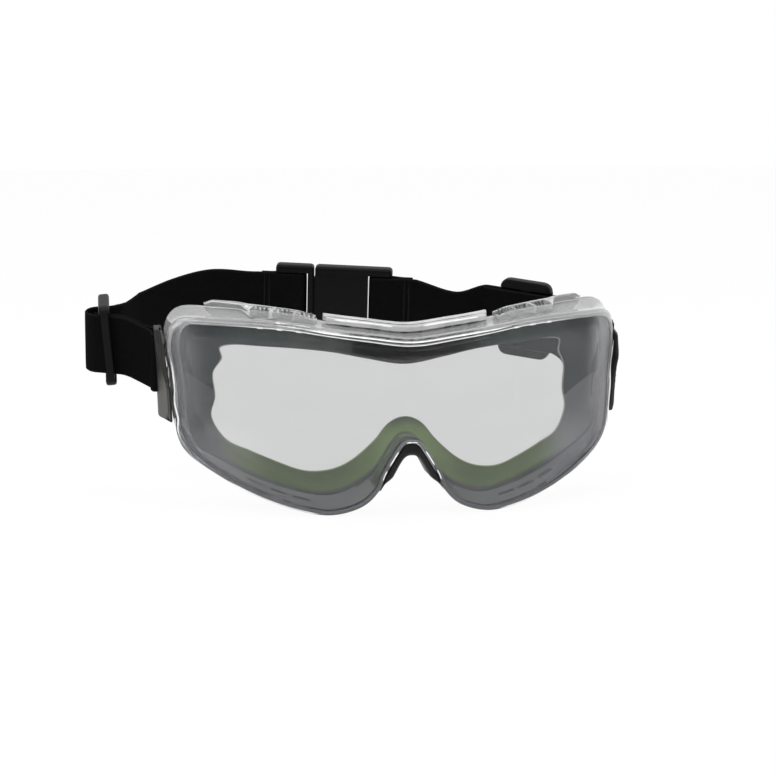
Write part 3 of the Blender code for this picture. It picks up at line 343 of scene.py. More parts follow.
class Signal:
    """A shader socket that takes part in arithmetic."""

    def __init__(self, nodes, socket):
        self.nodes = nodes
        self.socket = socket

    def math(self, operation, *values):
        return self.nodes.node("ShaderNodeMath", {"operation": operation}, dict(enumerate(values)))

    def __add__(self, other):
        return self.math("ADD", self, other)

    def __radd__(self, other):
        return self.math("ADD", other, self)

    def __sub__(self, other):
        return self.math("SUBTRACT", self, other)

    def __rsub__(self, other):
        return self.math("SUBTRACT", other, self)

    def __mul__(self, other):
        return self.math("MULTIPLY", self, other)

    def __rmul__(self, other):
        return self.math("MULTIPLY", other, self)

    def __abs__(self):
        return self.math("ABSOLUTE", self)

    def sine(self):
        return self.math("SINE", self)

    def most(self, other):
        """The larger of two signals."""
        return self.math("MAXIMUM", self, other)

    def ranged(self, settings=None, **ends):
        inputs = {key.replace("_", " ").title(): value for key, value in ends.items()}
        return self.nodes.node("ShaderNodeMapRange", settings, {"Value": self, **inputs})

    def step(self, low, high):
        """Rises smoothly from 0 at low to 1 at high."""
        return self.ranged({"interpolation_type": "SMOOTHSTEP"}, from_min=low, from_max=high)

    def fall(self, low, high):
        """Falls smoothly from 1 at low to 0 at high."""
        return self.ranged({"interpolation_type": "SMOOTHSTEP"}, from_min=low, from_max=high, to_min=1.0, to_max=0.0)


class Nodes:
    """A node tree that is written as expressions."""

    def __init__(self, tree):
        self.tree = tree

    def node(self, kind, settings=None, inputs=None, output=0):
        made = self.tree.nodes.new(kind)
        for name, value in (settings or {}).items():
            setattr(made, name, value)
        for key, value in (inputs or {}).items():
            self.feed(made.inputs[key], value)
        return Signal(self, made.outputs[output])

    def feed(self, socket, value):
        if isinstance(value, Signal):
            self.tree.links.new(value.socket, socket)
        elif isinstance(value, (tuple, list)) and len(value) == 3 and socket.type == "RGBA":
            socket.default_value = (*value, 1.0)
        else:
            socket.default_value = value

    def parts(self, coordinate, names):
        """Parts of a texture coordinate as signals."""
        where = self.node("ShaderNodeTexCoord", output=coordinate)
        return [self.node("ShaderNodeSeparateXYZ", None, {0: where}, name) for name in names]

    def ray(self, kind):
        return self.node("ShaderNodeLightPath", output=kind)


class Finish(Nodes):
    """A procedural material with one Principled shader."""

    def __init__(self, name, roughness, specular):
        self.material = bpy.data.materials.new(name)
        self.material.use_nodes = True
        super().__init__(self.material.node_tree)
        self.shader = self.tree.nodes["Principled BSDF"]
        self.set("Roughness", roughness)
        self.set("Specular IOR Level", specular)

    def set(self, name, value):
        self.feed(self.shader.inputs[name], value)

    def place(self):
        """Object coordinates as three signals in millimetres."""
        return [part * 1000.0 for part in self.parts("Object", "XYZ")]

    def own_place(self):
        """The piece's own map as two signals: along it and across it, in its thousandths."""
        return [part * 1000.0 for part in self.parts("UV", "XY")]

    def noise(self, scale, detail=3.0, roughness=0.5):
        where = self.node("ShaderNodeTexCoord", output="Object")
        return self.node("ShaderNodeTexNoise", None,
                         {"Vector": where, "Scale": scale, "Detail": detail, "Roughness": roughness})

    def mix(self, share, first, second):
        return self.node("ShaderNodeMix", {"data_type": "RGBA"}, {0: share, 6: first, 7: second}, 2)

    def bump(self, height, distance, strength):
        normal = self.node("ShaderNodeBump", None, {"Height": height, "Distance": distance, "Strength": strength})
        self.set("Normal", normal)


# Curves and surfaces of the frame
def through(before, a, b, after, t):
    """Point at share t of the way from a to b on a smooth curve through four points."""
    return 0.5 * (2 * a + (b - before) * t + (2 * before - 5 * a + 4 * b - after) * t ** 2
                  + (3 * a - before - 3 * b + after) * t ** 3)


def spline(points, u):
    """Value at u on a half outline that is mirrored at both ends."""
    i = min(int(u), len(points) - 2)
    mirror = Vector((-1.0, 1.0))
    before = points[i - 1] if i > 0 else points[1] * mirror
    after = points[i + 2] if i + 2 < len(points) else points[-2] * mirror
    return through(before, points[i], points[i + 1], after, u - i)


def smooth_path(points, per_span):
    """Rounded route through given points."""
    path = []
    for i in range(len(points) - 1):
        before, after = points[max(i - 1, 0)], points[min(i + 2, len(points) - 1)]
        path += [through(before, points[i], points[i + 1], after, k / per_span) for k in range(per_span)]
    path.append(points[-1])
    return path


def along(u, stops):
    """Value at station u, eased between the stops (station, value)."""
    for (u0, v0), (u1, v1) in zip(stops, stops[1:]):
        if u <= u1:
            t = max(0.0, (u - u0) / (u1 - u0))
            return v0 + (v1 - v0) * t * t * (3.0 - 2.0 * t)
    return stops[-1][1]


def spread(start, end, steps):
    """Stations at even steps from start to end."""
    return [start + (end - start) * k / steps for k in range(steps + 1)]


def run_at(points, i):
    """Direction of a route at one of its points."""
    return (points[min(i + 1, len(points) - 1)] - points[max(i - 1, 0)]).normalized()


def outline(shape, half_width, rise, drop):
    return [Vector((x * half_width, z * (rise if z > 0 else drop))) for x, z in shape]


LENS_POINTS = outline(LENS_SHAPE, LENS_HALF_ARC, LENS_RISE, LENS_DROP)
OPENING_POINTS = outline(OPENING_SHAPE, OPENING_HALF_WIDTH, OPENING_RISE, OPENING_DROP)


def lens_edge(u):
    """Edge of the flat lens and its outward direction."""
    step = 0.02
    at = spline(LENS_POINTS, u)
    ahead = spline(LENS_POINTS, min(u + step, LAST))
    behind = spline(LENS_POINTS, max(u - step, 0.0))
    run = (ahead - behind).normalized()
    if u in (0, LAST):
        run = Vector((1.0, 0.0)) if u == 0 else Vector((-1.0, 0.0))
    return at, Vector((-run.y, run.x))


def on_lens(flat, depth=0.0):
    """A point of the flat sheet bent to the cylinder, depth behind the outer face."""
    angle = flat.x / LENS_RADIUS
    radius = LENS_RADIUS - depth
    return Vector((radius * math.sin(angle), LENS_RADIUS - LENS_STANDOFF - radius * math.cos(angle), flat.y))


def rim_width(u):
    return along(u, [(0, RIM_TOP), (5.5, RIM_TOP), (7.5, RIM_SIDE), (9.2, RIM_SIDE), (11.6, RIM_BOTTOM),
                     (16, RIM_BOTTOM), (18, RIM_NOSE), (LAST, RIM_NOSE)])


def rim_round(u):
    return min(RIM_ROUND, RIM_ROUND_SHARE * rim_width(u))


def brow_share(u):
    """1 along the brow, where the rim laps over the lens, and 0 round the rest."""
    return along(u, [(0, 1.0), (5.0, 1.0), (6.4, 0.0), (LAST, 0.0)])


def front_height(u):
    return along(u, [(0, GROOVE_WALL), (5.6, GROOVE_WALL), (6.8, EDGE_PROUD), (LAST, EDGE_PROUD)])


def shoulder(u):
    """Depth of the rim's outer front corner, which falls back along the sides."""
    return along(u, [(0, -GROOVE_WALL), (5.6, -GROOVE_WALL), (7.4, SHOULDER_DROP), (10, SHOULDER_DROP),
                     (12.5, -EDGE_PROUD), (LAST, -EDGE_PROUD)])


def lens_reach(u):
    """How far the lens reaches out over the rim along the brow and the temples."""
    return along(u, [(0, LENS_REACH_CENTRE), (2.5, LENS_REACH_BROW), (5.6, LENS_REACH_BROW), (7.4, LENS_REACH),
                     (9.2, LENS_REACH), (11.6, 0.0), (LAST, 0.0)])


def side_share(u):
    """1 along the temples, where the rim is a broad waved bead."""
    return along(u, [(0, 0.0), (5.8, 0.0), (7.4, 1.0), (10.5, 1.0), (12.5, 0.0), (LAST, 0.0)])


def rim_point(u, out, depth):
    """Point at a distance out from the lens edge and a depth behind the lens's outer face."""
    edge, normal = lens_edge(u)
    return on_lens(edge + normal * out, depth)


def rim_back(u, inset=0.0):
    """Rear end of the rim, where the outer wall starts."""
    return rim_point(u, rim_width(u) - inset, 0.0) + Vector((0, RIM_LENGTH, 0))


def waist(u):
    """How much narrower the waved bead at the left is half way down."""
    return along(u, [(7.0, 0.0), (8.3, WAIST), (8.7, WAIST), (10.2, 0.0), (LAST, 0.0)])


def opening_edge(u):
    """Edge of the seal that meets the face."""
    flat = spline(OPENING_POINTS, u)
    across = min(abs(flat.x), FACE_RADIUS * 0.98)
    return Vector((flat.x, FACE_RADIUS - math.sqrt(FACE_RADIUS ** 2 - across ** 2), flat.y))


TEMPLE_DEPTH = DEPTH_FLAT_FACE + WRAP_SHARE * max(opening_edge(u).y for u in range(LAST))


def rear_edge(u, inset=0.0):
    """Rear edge of the frame, where the seal is bonded."""
    edge, normal = lens_edge(u)
    flare = along(u, [(0, FLARE_BROW), (2.5, FLARE_BROW), (5, FLARE_TEMPLE), (5.8, FLARE_TEMPLE),
                      (7, FLARE_SIDE), (9.2, FLARE_SIDE), (11.8, FLARE_BOTTOM), (16, FLARE_BOTTOM),
                      (18, FLARE_NOSE), (LAST, FLARE_NOSE)])
    depth = along(u, [(0, DEPTH_BROW), (2, DEPTH_BROW), (5, TEMPLE_DEPTH), (10, TEMPLE_DEPTH),
                      (14, DEPTH_BOTTOM), (16, DEPTH_BOTTOM), (18.5, DEPTH_NOSE), (LAST, DEPTH_NOSE)])
    point = on_lens(edge) + Vector((normal.x, 0, normal.y)) * (flare - inset)
    point.y += depth
    return point


def mirrored(point):
    """The same point on the other side of the goggles."""
    return Vector((-point.x, point.y, point.z))


def sided(points, side):
    """Points of the right half, mirrored where they are wanted at the left."""
    return [mirrored(p) for p in points] if side < 0 else points


def ring(place, place_left=None):
    """All stations round the frame: the right half from brow to nose, then the left half back."""
    stations = [k / SAMPLES for k in range(LAST * SAMPLES + 1)]
    left = place_left or place
    return [place(u) for u in stations] + [mirrored(left(u)) for u in stations[-2:0:-1]]


def waved_ring(place):
    """All stations round the frame where place(u, waves) has its waves at the left only."""
    return ring(lambda u: place(u, 0.0), lambda u: place(u, 1.0))


def deck_frame(u, share):
    """Point on the outer wall between rim and rear edge, with its along, back and outward directions."""
    def point(v):
        start = rim_back(v)
        return start + (rear_edge(v) - start) * share
    step = 0.05
    run = (point(min(u + step, LAST)) - point(max(u - step, 0.0))).normalized()
    back = (rear_edge(u) - rim_back(u)).normalized()
    out = back.cross(run).normalized()
    normal = lens_edge(u)[1]
    if out.dot(Vector((normal.x, 0, normal.y))) < 0:
        out = -out
    return point(u), run, out.cross(run).normalized(), out


def on_deck(u, share, height):
    """Point above the outer wall; a station below zero is at the left."""
    point, _, _, out = deck_frame(abs(u), share)
    return sided([point + out * height], u)[0]


def rounded_section(u, start, end, base, height, steps=12, square=0.45):
    """Points over the deck at one station: a soft-cornered hump between two shares of the wall."""
    points = []
    for k in range(steps + 1):
        a = math.pi * k / steps
        across = math.copysign(abs(math.cos(a)) ** square, math.cos(a))
        share = (start + end) * 0.5 - (end - start) * 0.5 * across
        points.append(on_deck(u, share, base + height * math.sin(a) ** square))
    return points


# Mesh tools
def skin(rails, closed_along=True, closed_across=True, measures=None):
    """A grid laid over the rails; seams are welded where the piece closes on itself.

    measures gives the distance of each column along the piece and of each row round it, for the piece's own map.
    """
    rails = [list(rail) + (rail[:1] if closed_along else []) for rail in rails]
    if closed_across:
        rails.append(rails[0])
    bm = bmesh.new()
    count = len(rails[0])
    bmesh.ops.create_grid(bm, x_segments=count - 1, y_segments=len(rails) - 1, size=1.0)
    for index, vert in enumerate(bm.verts):
        vert.co = rails[index // count][index % count]
    if measures is not None:
        bm.verts.index_update()
        layer = bm.loops.layers.uv.new("band_map")
        for face in bm.faces:
            for loop in face.loops:
                row, column = divmod(loop.vert.index, count)
                loop[layer].uv = (measures[0][column], measures[1][row])
    bmesh.ops.remove_doubles(bm, verts=bm.verts, dist=1e-7)
    if not closed_along:
        ends = [edge for edge in bm.edges if edge.is_boundary]
        bmesh.ops.holes_fill(bm, edges=ends, sides=0)
    bmesh.ops.recalc_face_normals(bm, faces=bm.faces)
    return bm


def rod(points, radius):
    """A thin round rod along a route, pointed at both ends."""
    last = len(points) - 1
    rails = []
    for k in range(8):
        a = 2.0 * math.pi * k / 8.0
        rail = []
        for i, point in enumerate(points):
            run = run_at(points, i)
            side = run.cross(Vector((0.0, -0.8, 0.6))).normalized()
            taper = radius * along(min(i, last - i) / last, [(0.0, 0.2), (0.12, 1.0)])
            rail.append(point + (side * math.cos(a) + run.cross(side) * math.sin(a)) * taper)
        rails.append(rail)
    return skin(rails, closed_along=False)


def box(size, centre, turn):
    bm = bmesh.new()
    place = Matrix.Translation(centre) @ turn.to_4x4()
    bmesh.ops.create_cube(bm, size=1.0, matrix=place @ Matrix.Diagonal((*size, 1.0)))
    return bm


def gather(*parts):
    """Several bmeshes as one."""
    whole = bmesh.new()
    for part in parts:
        mesh = bpy.data.meshes.new("gathered")
        part.to_mesh(mesh)
        part.free()
        whole.from_mesh(mesh)
        bpy.data.meshes.remove(mesh)
    return whole


def piece(name, bm, finish, smooth_angle=40.0):
    """A finished mesh object in the row frame."""
    mesh = bpy.data.meshes.new(name)
    bm.to_mesh(mesh)
    bm.free()
    mesh.materials.append(finish.material)
    mesh.shade_smooth()
    mesh.set_sharp_from_angle(angle=math.radians(smooth_angle))
    obj = bpy.data.objects.new(name, mesh)
    bpy.context.scene.collection.objects.link(obj)
    return obj


def settle(obj):
    """Apply what the modifiers have made to the mesh itself."""
    bpy.context.view_layer.update()
    made = bpy.data.meshes.new_from_object(obj.evaluated_get(bpy.context.evaluated_depsgraph_get()))
    old = obj.data
    obj.modifiers.clear()
    obj.data = made
    made.name = obj.name
    bpy.data.meshes.remove(old)


def join_to(obj, bm, finish):
    """Add a body with its own finish to a piece."""
    mesh = bpy.data.meshes.new("added")
    for face in bm.faces:
        face.material_index = len(obj.data.materials)
    bm.to_mesh(mesh)
    bm.free()
    whole = bmesh.new()
    whole.from_mesh(obj.data)
    whole.from_mesh(mesh)
    whole.to_mesh(obj.data)
    whole.free()
    bpy.data.meshes.remove(mesh)
    obj.data.materials.append(finish.material)


def carve(obj, bm):
    """Cut a tool body out of a piece."""
    bmesh.ops.recalc_face_normals(bm, faces=bm.faces)
    mesh = bpy.data.meshes.new("tool")
    bm.to_mesh(mesh)
    bm.free()
    tool = bpy.data.objects.new("tool", mesh)
    bpy.context.scene.collection.objects.link(tool)
    cut = obj.modifiers.new("cut", "BOOLEAN")
    cut.solver = "EXACT"
    cut.object = tool
    settle(obj)
    bpy.data.objects.remove(tool, do_unlink=True)
    bpy.data.meshes.remove(mesh)


def wall_cutter(u, share, length, width, height, side):
    """A box through the wall at a station, on one side of the frame."""
    point, run, back, out = sided(deck_frame(u, share), side)
    turn = Matrix((run, back, out)).transposed()
    return box((length, width, height), point, turn)


def vent_stations():
    """Middles of the three cells of a vent."""
    pitch = (VENT_END - VENT_START) / 3.0
    return [VENT_START + pitch * (k + 0.5) for k in range(3)]


# Finishes
def clear_vinyl(colours):
    """Clear flexible moulding: faintly cloudy, greyer from the middle down and smoke grey along the lower wall."""
    finish = Finish("clear_vinyl_moulding", 0.05, 0.5)
    x, _, z = finish.place()
    cloud = finish.noise(60.0, 4.0)
    clear = finish.mix(cloud.step(0.3, 0.75), tuple(c * 0.94 for c in colours.vinyl), tuple(colours.vinyl))
    haze = z.fall(-22.0, 8.0) * 0.9
    clear = finish.mix(haze, clear, tuple(c * 1.25 for c in colours.smoke))
    smoke = z.fall(-30.0, -18.0) * abs(x).fall(66.0, 84.0)
    finish.set("Base Color", finish.mix(smoke, clear, tuple(colours.smoke)))
    finish.set("Transmission Weight", 0.74)
    finish.set("IOR", 1.45)
    finish.bump(finish.noise(140.0, 2.0), 0.0004, 0.3)
    return finish


def mottled(name, roughness, specular, grain, span, dark, light):
    """A finish that wanders between two tones; grain is the scale and detail of its noise."""
    finish = Finish(name, roughness, specular)
    cloud = finish.noise(*grain)
    finish.set("Base Color", finish.mix(cloud.step(*span), dark, light))
    return finish


def highlight_vinyl():
    """Clear moulding painted bright, as a painted highlight."""
    finish = mottled("vinyl_strip_painted_highlight", 0.06, 0.6, (90.0, 3.0), (0.35, 0.65), (0.68, 0.68, 0.68), (0.9, 0.9, 0.9))
    finish.set("Transmission Weight", 0.6)
    finish.set("IOR", 1.45)
    return finish


def pale_highlight_vinyl():
    """Milky clear edge, painted pale as a highlight."""
    return mottled("painted_pale_highlight", 0.2, 0.5, (400.0,), (0.3, 0.7), (0.8, 0.8, 0.8), (0.95, 0.95, 0.95))


def painted_dark_edge():
    """Painted dark line, standing for the shade where a clear edge bends the light away."""
    return mottled("painted_dark_line", 0.1, 0.5, (300.0,), (0.4, 0.6), (0.03, 0.033, 0.032), (0.14, 0.145, 0.145))


def sewing_thread():
    """Black twisted thread."""
    return mottled("sewing_thread", 0.7, 0.15, (1800.0,), (0.35, 0.65), (0.003, 0.003, 0.003), (0.011, 0.011, 0.012))


def coated_lens(colours):
    """Clear coated sheet with a faint neutral veil that is painted sheen, painted shade close under the brow and
    painted light towards the sides.
    """
    finish = Finish("coated_lens_sheet", 0.04, 0.5)
    x, _, z = finish.place()
    side = abs(x)
    # Painted shade on the lens close under the brow, at the top centre
    brow = (z - abs(x + 2.5) * 0.15).step(12.5, 13.3) * side.fall(18.0, 34.0)
    # Painted light: the lens is paler and denser towards its sides, most at the right and at the lower outer corners
    right = x.step(-20.0, 20.0)
    corner = z.fall(-22.0, -8.0) * side.step(48.0, 72.0) * (0.42 - 0.25 * right)
    edge = (side.step(74.0, 87.0) * (0.6 + 0.4 * right)).most(corner)
    # The veil is painted sheen of the coated sheet, wandering at random
    cloud = finish.noise(18.0, 2.0)
    veil = finish.mix(cloud.step(0.35, 0.7) * 0.3, tuple(colours.coating_sheen), tuple(c * 1.15 for c in colours.coating_sheen))
    veil = finish.mix(edge * 0.8, veil, LENS_SIDE_LIGHT)
    finish.set("Base Color", finish.mix(brow, veil, LENS_BROW_SHADE))
    finish.set("Alpha", 0.25 + edge * (0.06 + 0.24 * right) + 0.1 * brow)
    return finish


def seal_rubber(colours):
    """Matt soft flange with a fine grain.

    Its front is charcoal at the brow, slate at the sides and olive low down, with a pale lip. The darkest brow, the
    steps at the left brow and the band above a slanting line under the strap are painted shade, the steps standing for
    reflections of the strap; the paler sides below that line, brightest at the right, and the olive, brightened towards
    the nose, carry painted light; the pale lip is a painted highlight. Behind it is plain.
    """
    finish = Finish("seal_rubber", 0.6, 0.2)
    x, _, z = finish.place()
    _, share = finish.own_place()
    side = abs(x)
    grain = finish.noise(900.0, 4.0, 0.6)
    shade = finish.noise(45.0, 3.0)
    low = z.fall(-19.0, -7.0) * side.fall(56.0, 74.0)
    # Painted shade at the top centre of the brow
    brow = z.step(2.0, 9.0) * x.step(-21.0, -19.0) * x.fall(15.0, 26.0)
    # Painted shade in steps at the left brow, standing for reflections of the strap
    brow_left = z.step(2.0, 9.0) * x.step(-46.0, -43.0) * x.fall(-21.0, -19.0)
    # Painted shade above a slanting line under the strap; below it the sides are paler, brightest at the right, as
    # painted light
    strap_shade = (z - (side - 69.0) * 0.65 + 5.0 + 6.0 * x.step(-5.0, 5.0)).step(-0.8, 0.8)
    patch = finish.mix(x.step(-20.0, 20.0), SEAL_PATCH_LIT_LEFT, SEAL_PATCH_LIT_RIGHT)
    colour = finish.mix(strap_shade, patch, tuple(colours.seal))
    # The olive is the flange's own tone brightened as painted light, most towards the nose
    olive = finish.mix(side.fall(6.0, 30.0), tuple(colours.seal_low_with_light), tuple(c * 1.5 for c in colours.seal_low_with_light))
    colour = finish.mix(low, colour, finish.mix(share.step(0.18, 0.36), SEAL_ROOT, olive))
    colour = finish.mix(brow_left, colour, finish.mix(x.step(-31.0, -29.0), SEAL_BROW_OUTER_SHADE, SEAL_BROW_INNER_SHADE))
    colour = finish.mix(brow, colour, SEAL_BROW_SHADE)
    front = share.fall(1.0, 1.02)
    colour = finish.mix(front, SEAL_BEHIND, colour)
    colour = finish.mix(shade.step(0.3, 0.7) * 0.12, colour, SEAL_SPECK)
    # Painted highlight: a pale lip along the opening at the sides
    lip = share.step(0.965, 0.985) * front * side.step(58.0, 63.0)
    finish.set("Base Color", finish.mix(lip * 0.7, colour, SEAL_LIP_HIGHLIGHT))
    finish.set("Roughness", 0.52 + 0.2 * grain)
    finish.bump(finish.noise(220.0, 2.0), 0.00003, 0.3)
    return finish


def pad_rubber():
    """Black satin saddle with a soft grain."""
    finish = Finish("pad_rubber", 0.4, 0.3)
    grain = finish.noise(1400.0, 3.0, 0.6)
    finish.set("Base Color", finish.mix(grain.step(0.3, 0.8), PAD_DARK, PAD_LIGHT))
    finish.set("Roughness", 0.35 + 0.15 * grain)
    finish.bump(grain, 0.0001, 0.4)
    return finish


def moulded_plastic(name, tone, specular):
    """Dark grey satin plastic with a fine spark-eroded texture."""
    finish = Finish(name, 0.42, specular)
    grain = finish.noise(2200.0, 3.0, 0.65)
    patch = finish.noise(80.0, 4.0)
    finish.set("Base Color", finish.mix(patch.step(0.35, 0.7), tuple(c * 0.8 for c in tone), tuple(tone)))
    finish.set("Roughness", 0.4 + 0.06 * grain)
    finish.bump(grain, 0.00003, 0.3)
    return finish


def woven_elastic(colours):
    """Black ribbed elastic: fine cords along the band crossed by the weft."""
    finish = Finish("woven_elastic", 0.9, 0.03)
    run, across = finish.own_place()
    cords = (across * (2.0 * math.pi / CORD_PITCH)).sine()
    weft = (run * (2.0 * math.pi / WEFT_PITCH)).sine()
    weave = cords * 0.5 + weft * cords * 0.5
    fuzz = finish.noise(2600.0, 3.0, 0.7)
    tone = weave * 0.12 + fuzz * 0.4 + 0.3
    width = STRAP_WIDTH * 1000.0
    # Painted sheen: the band's edges are lightened
    edge_sheen = 1.0 - (across.step(0.0, 0.7) - across.step(width - 1.6, width - 0.9)
                      + across.step(width + 0.6, width + 1.3) - across.step(2.0 * width - 1.0, 2.0 * width - 0.3))
    woven = finish.mix(tone.step(0.1, 0.9), WEAVE_DARK, tuple(colours.elastic))
    finish.set("Base Color", finish.mix(edge_sheen * 0.5, woven, SELVEDGE_SHEEN))
    finish.set("Roughness", 0.82 + 0.12 * fuzz)
    finish.bump(weave + fuzz * 0.2, 0.00004, 0.5)
    return finish


# Bands of the strap
def to_row(point, lift):
    """A point of the strap's plane, lifted across it, in the row frame."""
    c, s = math.cos(STRAP_TILT), math.sin(STRAP_TILT)
    return Vector((point.x, PIVOT_Y + point.y * c - lift * s, PIVOT_Z + point.y * s + lift * c))


def across_of(direction):
    """Direction in the strap's plane, a quarter turn to the left of another."""
    return Vector((-direction.y, direction.x))


def band_section():
    """Half thickness and lift of each point round a band's section, with soft selvedges."""
    half, thick = STRAP_WIDTH * 0.5, STRAP_THICKNESS * 0.5
    section = []
    for face in (1, -1):
        for k in range(9):
            lift = face * half * (0.96 - 1.92 * k / 8.0)
            crown = 1.0 - 0.12 * (abs(lift) / half > 0.9)
            section.append((face * thick * crown, lift))
        section.append((0.0, -face * half))
    return section


def strap_lift(point):
    """How far the strap lies above its plane at a point of its route."""
    if point.x > 0:
        return along(point.y, [(CLIP_BAR_START + CLIP_BAR, 0.0), (SAG_AT, -SAG),
                               (SLIDE_RIGHT.y - SLIDE_REST, LIFT_SLIDE_RIGHT),
                               (SLIDE_RIGHT.y + SLIDE_REST, LIFT_SLIDE_RIGHT), (BACK_SAG_AT, -BACK_SAG),
                               (BACK_SAG_AT + BACK_SAG_RUN, LIFT_BUCKLE)])
    if point.y < LIFT_FOLD_FROM:
        return along(-point.x - CLIP_INNER_X, [(CLIP_BAR, 0.0), (CLIP_BAR + LIFT_RUN, LIFT_SLIDE_LEFT)])
    return along(point.x, [(SLIDE_LEFT.x, LIFT_SLIDE_LEFT), (FOLD_END.x, LIFT_FOLD), (HUMP_AT, HUMP),
                           (BUCKLE_LEFT.x - SEAM_LENGTH * 0.5, LIFT_BUCKLE)])


def travelled(points):
    """Distance from the first point to each of them."""
    distances = [0.0]
    for a, b in zip(points, points[1:]):
        distances.append(distances[-1] + math.dist(a, b))
    return distances


def band(name, route, finish):
    """A band of elastic along a route in the strap's plane."""
    section = band_section()
    rails = []
    for offset, lift in section:
        rail = []
        for i, point in enumerate(route):
            rail.append(to_row(point + across_of(run_at(route, i)) * offset, lift + strap_lift(point)))
        rails.append(rail)
    measures = travelled(route), travelled(section + section[:1])
    return piece(name, skin(rails, closed_along=False, measures=measures), finish)


def stitch(obj, finish, bar_at, facing, radius):
    """Two raised rows of thread across a strap where its turned end is sewn down."""
    origin = BUCKLE_LEFT + BUCKLE_ALONG * bar_at
    front = across_of(BUCKLE_ALONG) * -(STRAP_THICKNESS + SEAT_GAP * 0.5)
    rows = []
    reach = STRAP_WIDTH * STITCH_REACH
    for share in STITCH_ROWS:
        at = origin + BUCKLE_ALONG * (facing * SEAM_LENGTH * share) + front
        rows.append(rod([to_row(at, strap_lift(at) + reach * (k / 10.0 - 1.0)) for k in range(21)], radius))
    join_to(obj, gather(*rows), finish)


def arc(centre, start, end, radius, steps):
    """Points round a centre from one angle to another, in degrees."""
    angles = [math.radians(a) for a in spread(start, end, steps)]
    return [centre + Vector((math.cos(a), math.sin(a))) * radius for a in angles]


def clip_wrap(side):
    """Route round the clip's bar, from the outer layer through the slot to the inner layer."""
    reach = SEAT_GAP + STRAP_THICKNESS * 0.5
    x_in, x_out = CLIP_INNER_X, CLIP_INNER_X + CLIP_BAR_THICKNESS
    front, rear = CLIP_BAR_START, CLIP_BAR_START + CLIP_BAR
    route = [Vector((x_out + reach, rear)), Vector((x_out + reach, front + SEAT_GAP))]
    bend = reach + WRAP_ROUND
    route += arc(Vector((x_out - WRAP_ROUND, front + WRAP_ROUND)), -20, -90, bend, 5)
    route += arc(Vector((x_in + WRAP_ROUND, front + WRAP_ROUND)), -90, -160, bend, 5)
    route += [Vector((x_in - reach, front + SEAT_GAP)), Vector((x_in - reach, rear))]
    return [Vector((side * p.x, p.y)) for p in route]


def slide_route(centre, direction, offset, start, end):
    """Straight layer of a strap through a slide."""
    across = across_of(direction) * offset
    return [centre + across + direction * start, centre + across + direction * end]


def buckle_loop(bar_at, facing):
    """Route of a strap end sewn round a buckle bar; facing is -1 for the left half and 1 for the right."""
    origin = BUCKLE_LEFT + BUCKLE_ALONG * bar_at
    back = across_of(BUCKLE_ALONG)
    turn = BUCKLE_BAR_RADIUS + SEAT_GAP + STRAP_THICKNESS * 0.5
    lay = STRAP_THICKNESS * 0.5 + SEAT_GAP * 0.5

    def at(t, n):
        return origin + BUCKLE_ALONG * (facing * t) + back * n

    route = [at(SEAM_LENGTH, -lay), at(SEAM_LENGTH * 0.65, -lay), at(SEAM_LENGTH * 0.3, -turn * 0.9)]
    nose = turn * (LOOP_NOSE_RIGHT if facing > 0 else LOOP_NOSE_LEFT)
    for a in spread(0.0, math.pi, 12):
        route.append(at(-nose * math.sin(a), -turn * math.cos(a)))
    return route + [at(SEAM_LENGTH * 0.3, turn * 0.9), at(SEAM_LENGTH * 0.65, lay), at(SEAM_LENGTH * 0.9, lay)]


def evened(route, pitch=1.2 * MM):
    """The same route with extra points on its long straight spans."""
    full = [route[0]]
    for a, b in zip(route, route[1:]):
        steps = max(1, int((b - a).length / pitch))
        full += [a + (b - a) * ((k + 1) / steps) for k in range(steps)]
    return full


# What a user may change
def colour_property(name, description, default):
    return bpy.props.FloatVectorProperty(name=name, description=description, default=default, subtype="COLOR", size=3,
                                         min=0.0, max=1.0)


def size_property(name, description, default):
    return bpy.props.FloatProperty(name=name, description=description, default=default, unit="LENGTH", precision=5,
                                   min=0.0)


class GogglesColours(bpy.types.PropertyGroup):
    """Colours a user may change."""

    vinyl: colour_property("Vinyl", "Clear moulding where it is least cloudy", (0.78, 0.785, 0.785))
    smoke: colour_property("Smoke", "Clear moulding along the lower wall", (0.297, 0.297, 0.320))
    # The lens veil is painted sheen
    coating_sheen: colour_property("Coating", "Veil of the lens coating", (0.125, 0.13, 0.135))
    # Dark flange colour, with painted shade at the brow and the sides above the strap
    seal: colour_property("Seal", "Soft flange at the brow and the sides", (0.024, 0.042, 0.034))
    # Olive below the eyes, with painted light
    seal_low_with_light: colour_property("Seal low", "Soft flange below the eyes", (0.25, 0.35, 0.14))
    hardware: colour_property("Hardware", "Slides and buckle", (0.004, 0.004, 0.004))
    clip: colour_property("Clips", "Plates that hold the strap to the frame", (0.034, 0.034, 0.031))
    elastic: colour_property("Elastic", "Ribs of the woven strap", (0.0075, 0.0075, 0.0078))


class GogglesSizes(bpy.types.PropertyGroup):
    """Sizes a user may change."""

    lower_slot_length: size_property("Lower slot length", "Length of each slot in the lower wall", LOWER_SLOT_LENGTH)
    lower_slot_width: size_property("Lower slot width", "Width of each slot in the lower wall", LOWER_SLOT_WIDTH)
    louvre_radius: size_property("Louvre radius", "Radius of the bars in the vent blocks", LOUVRE_RADIUS)
    thread_radius: size_property("Thread radius", "Radius of the sewing thread", THREAD_RADIUS)


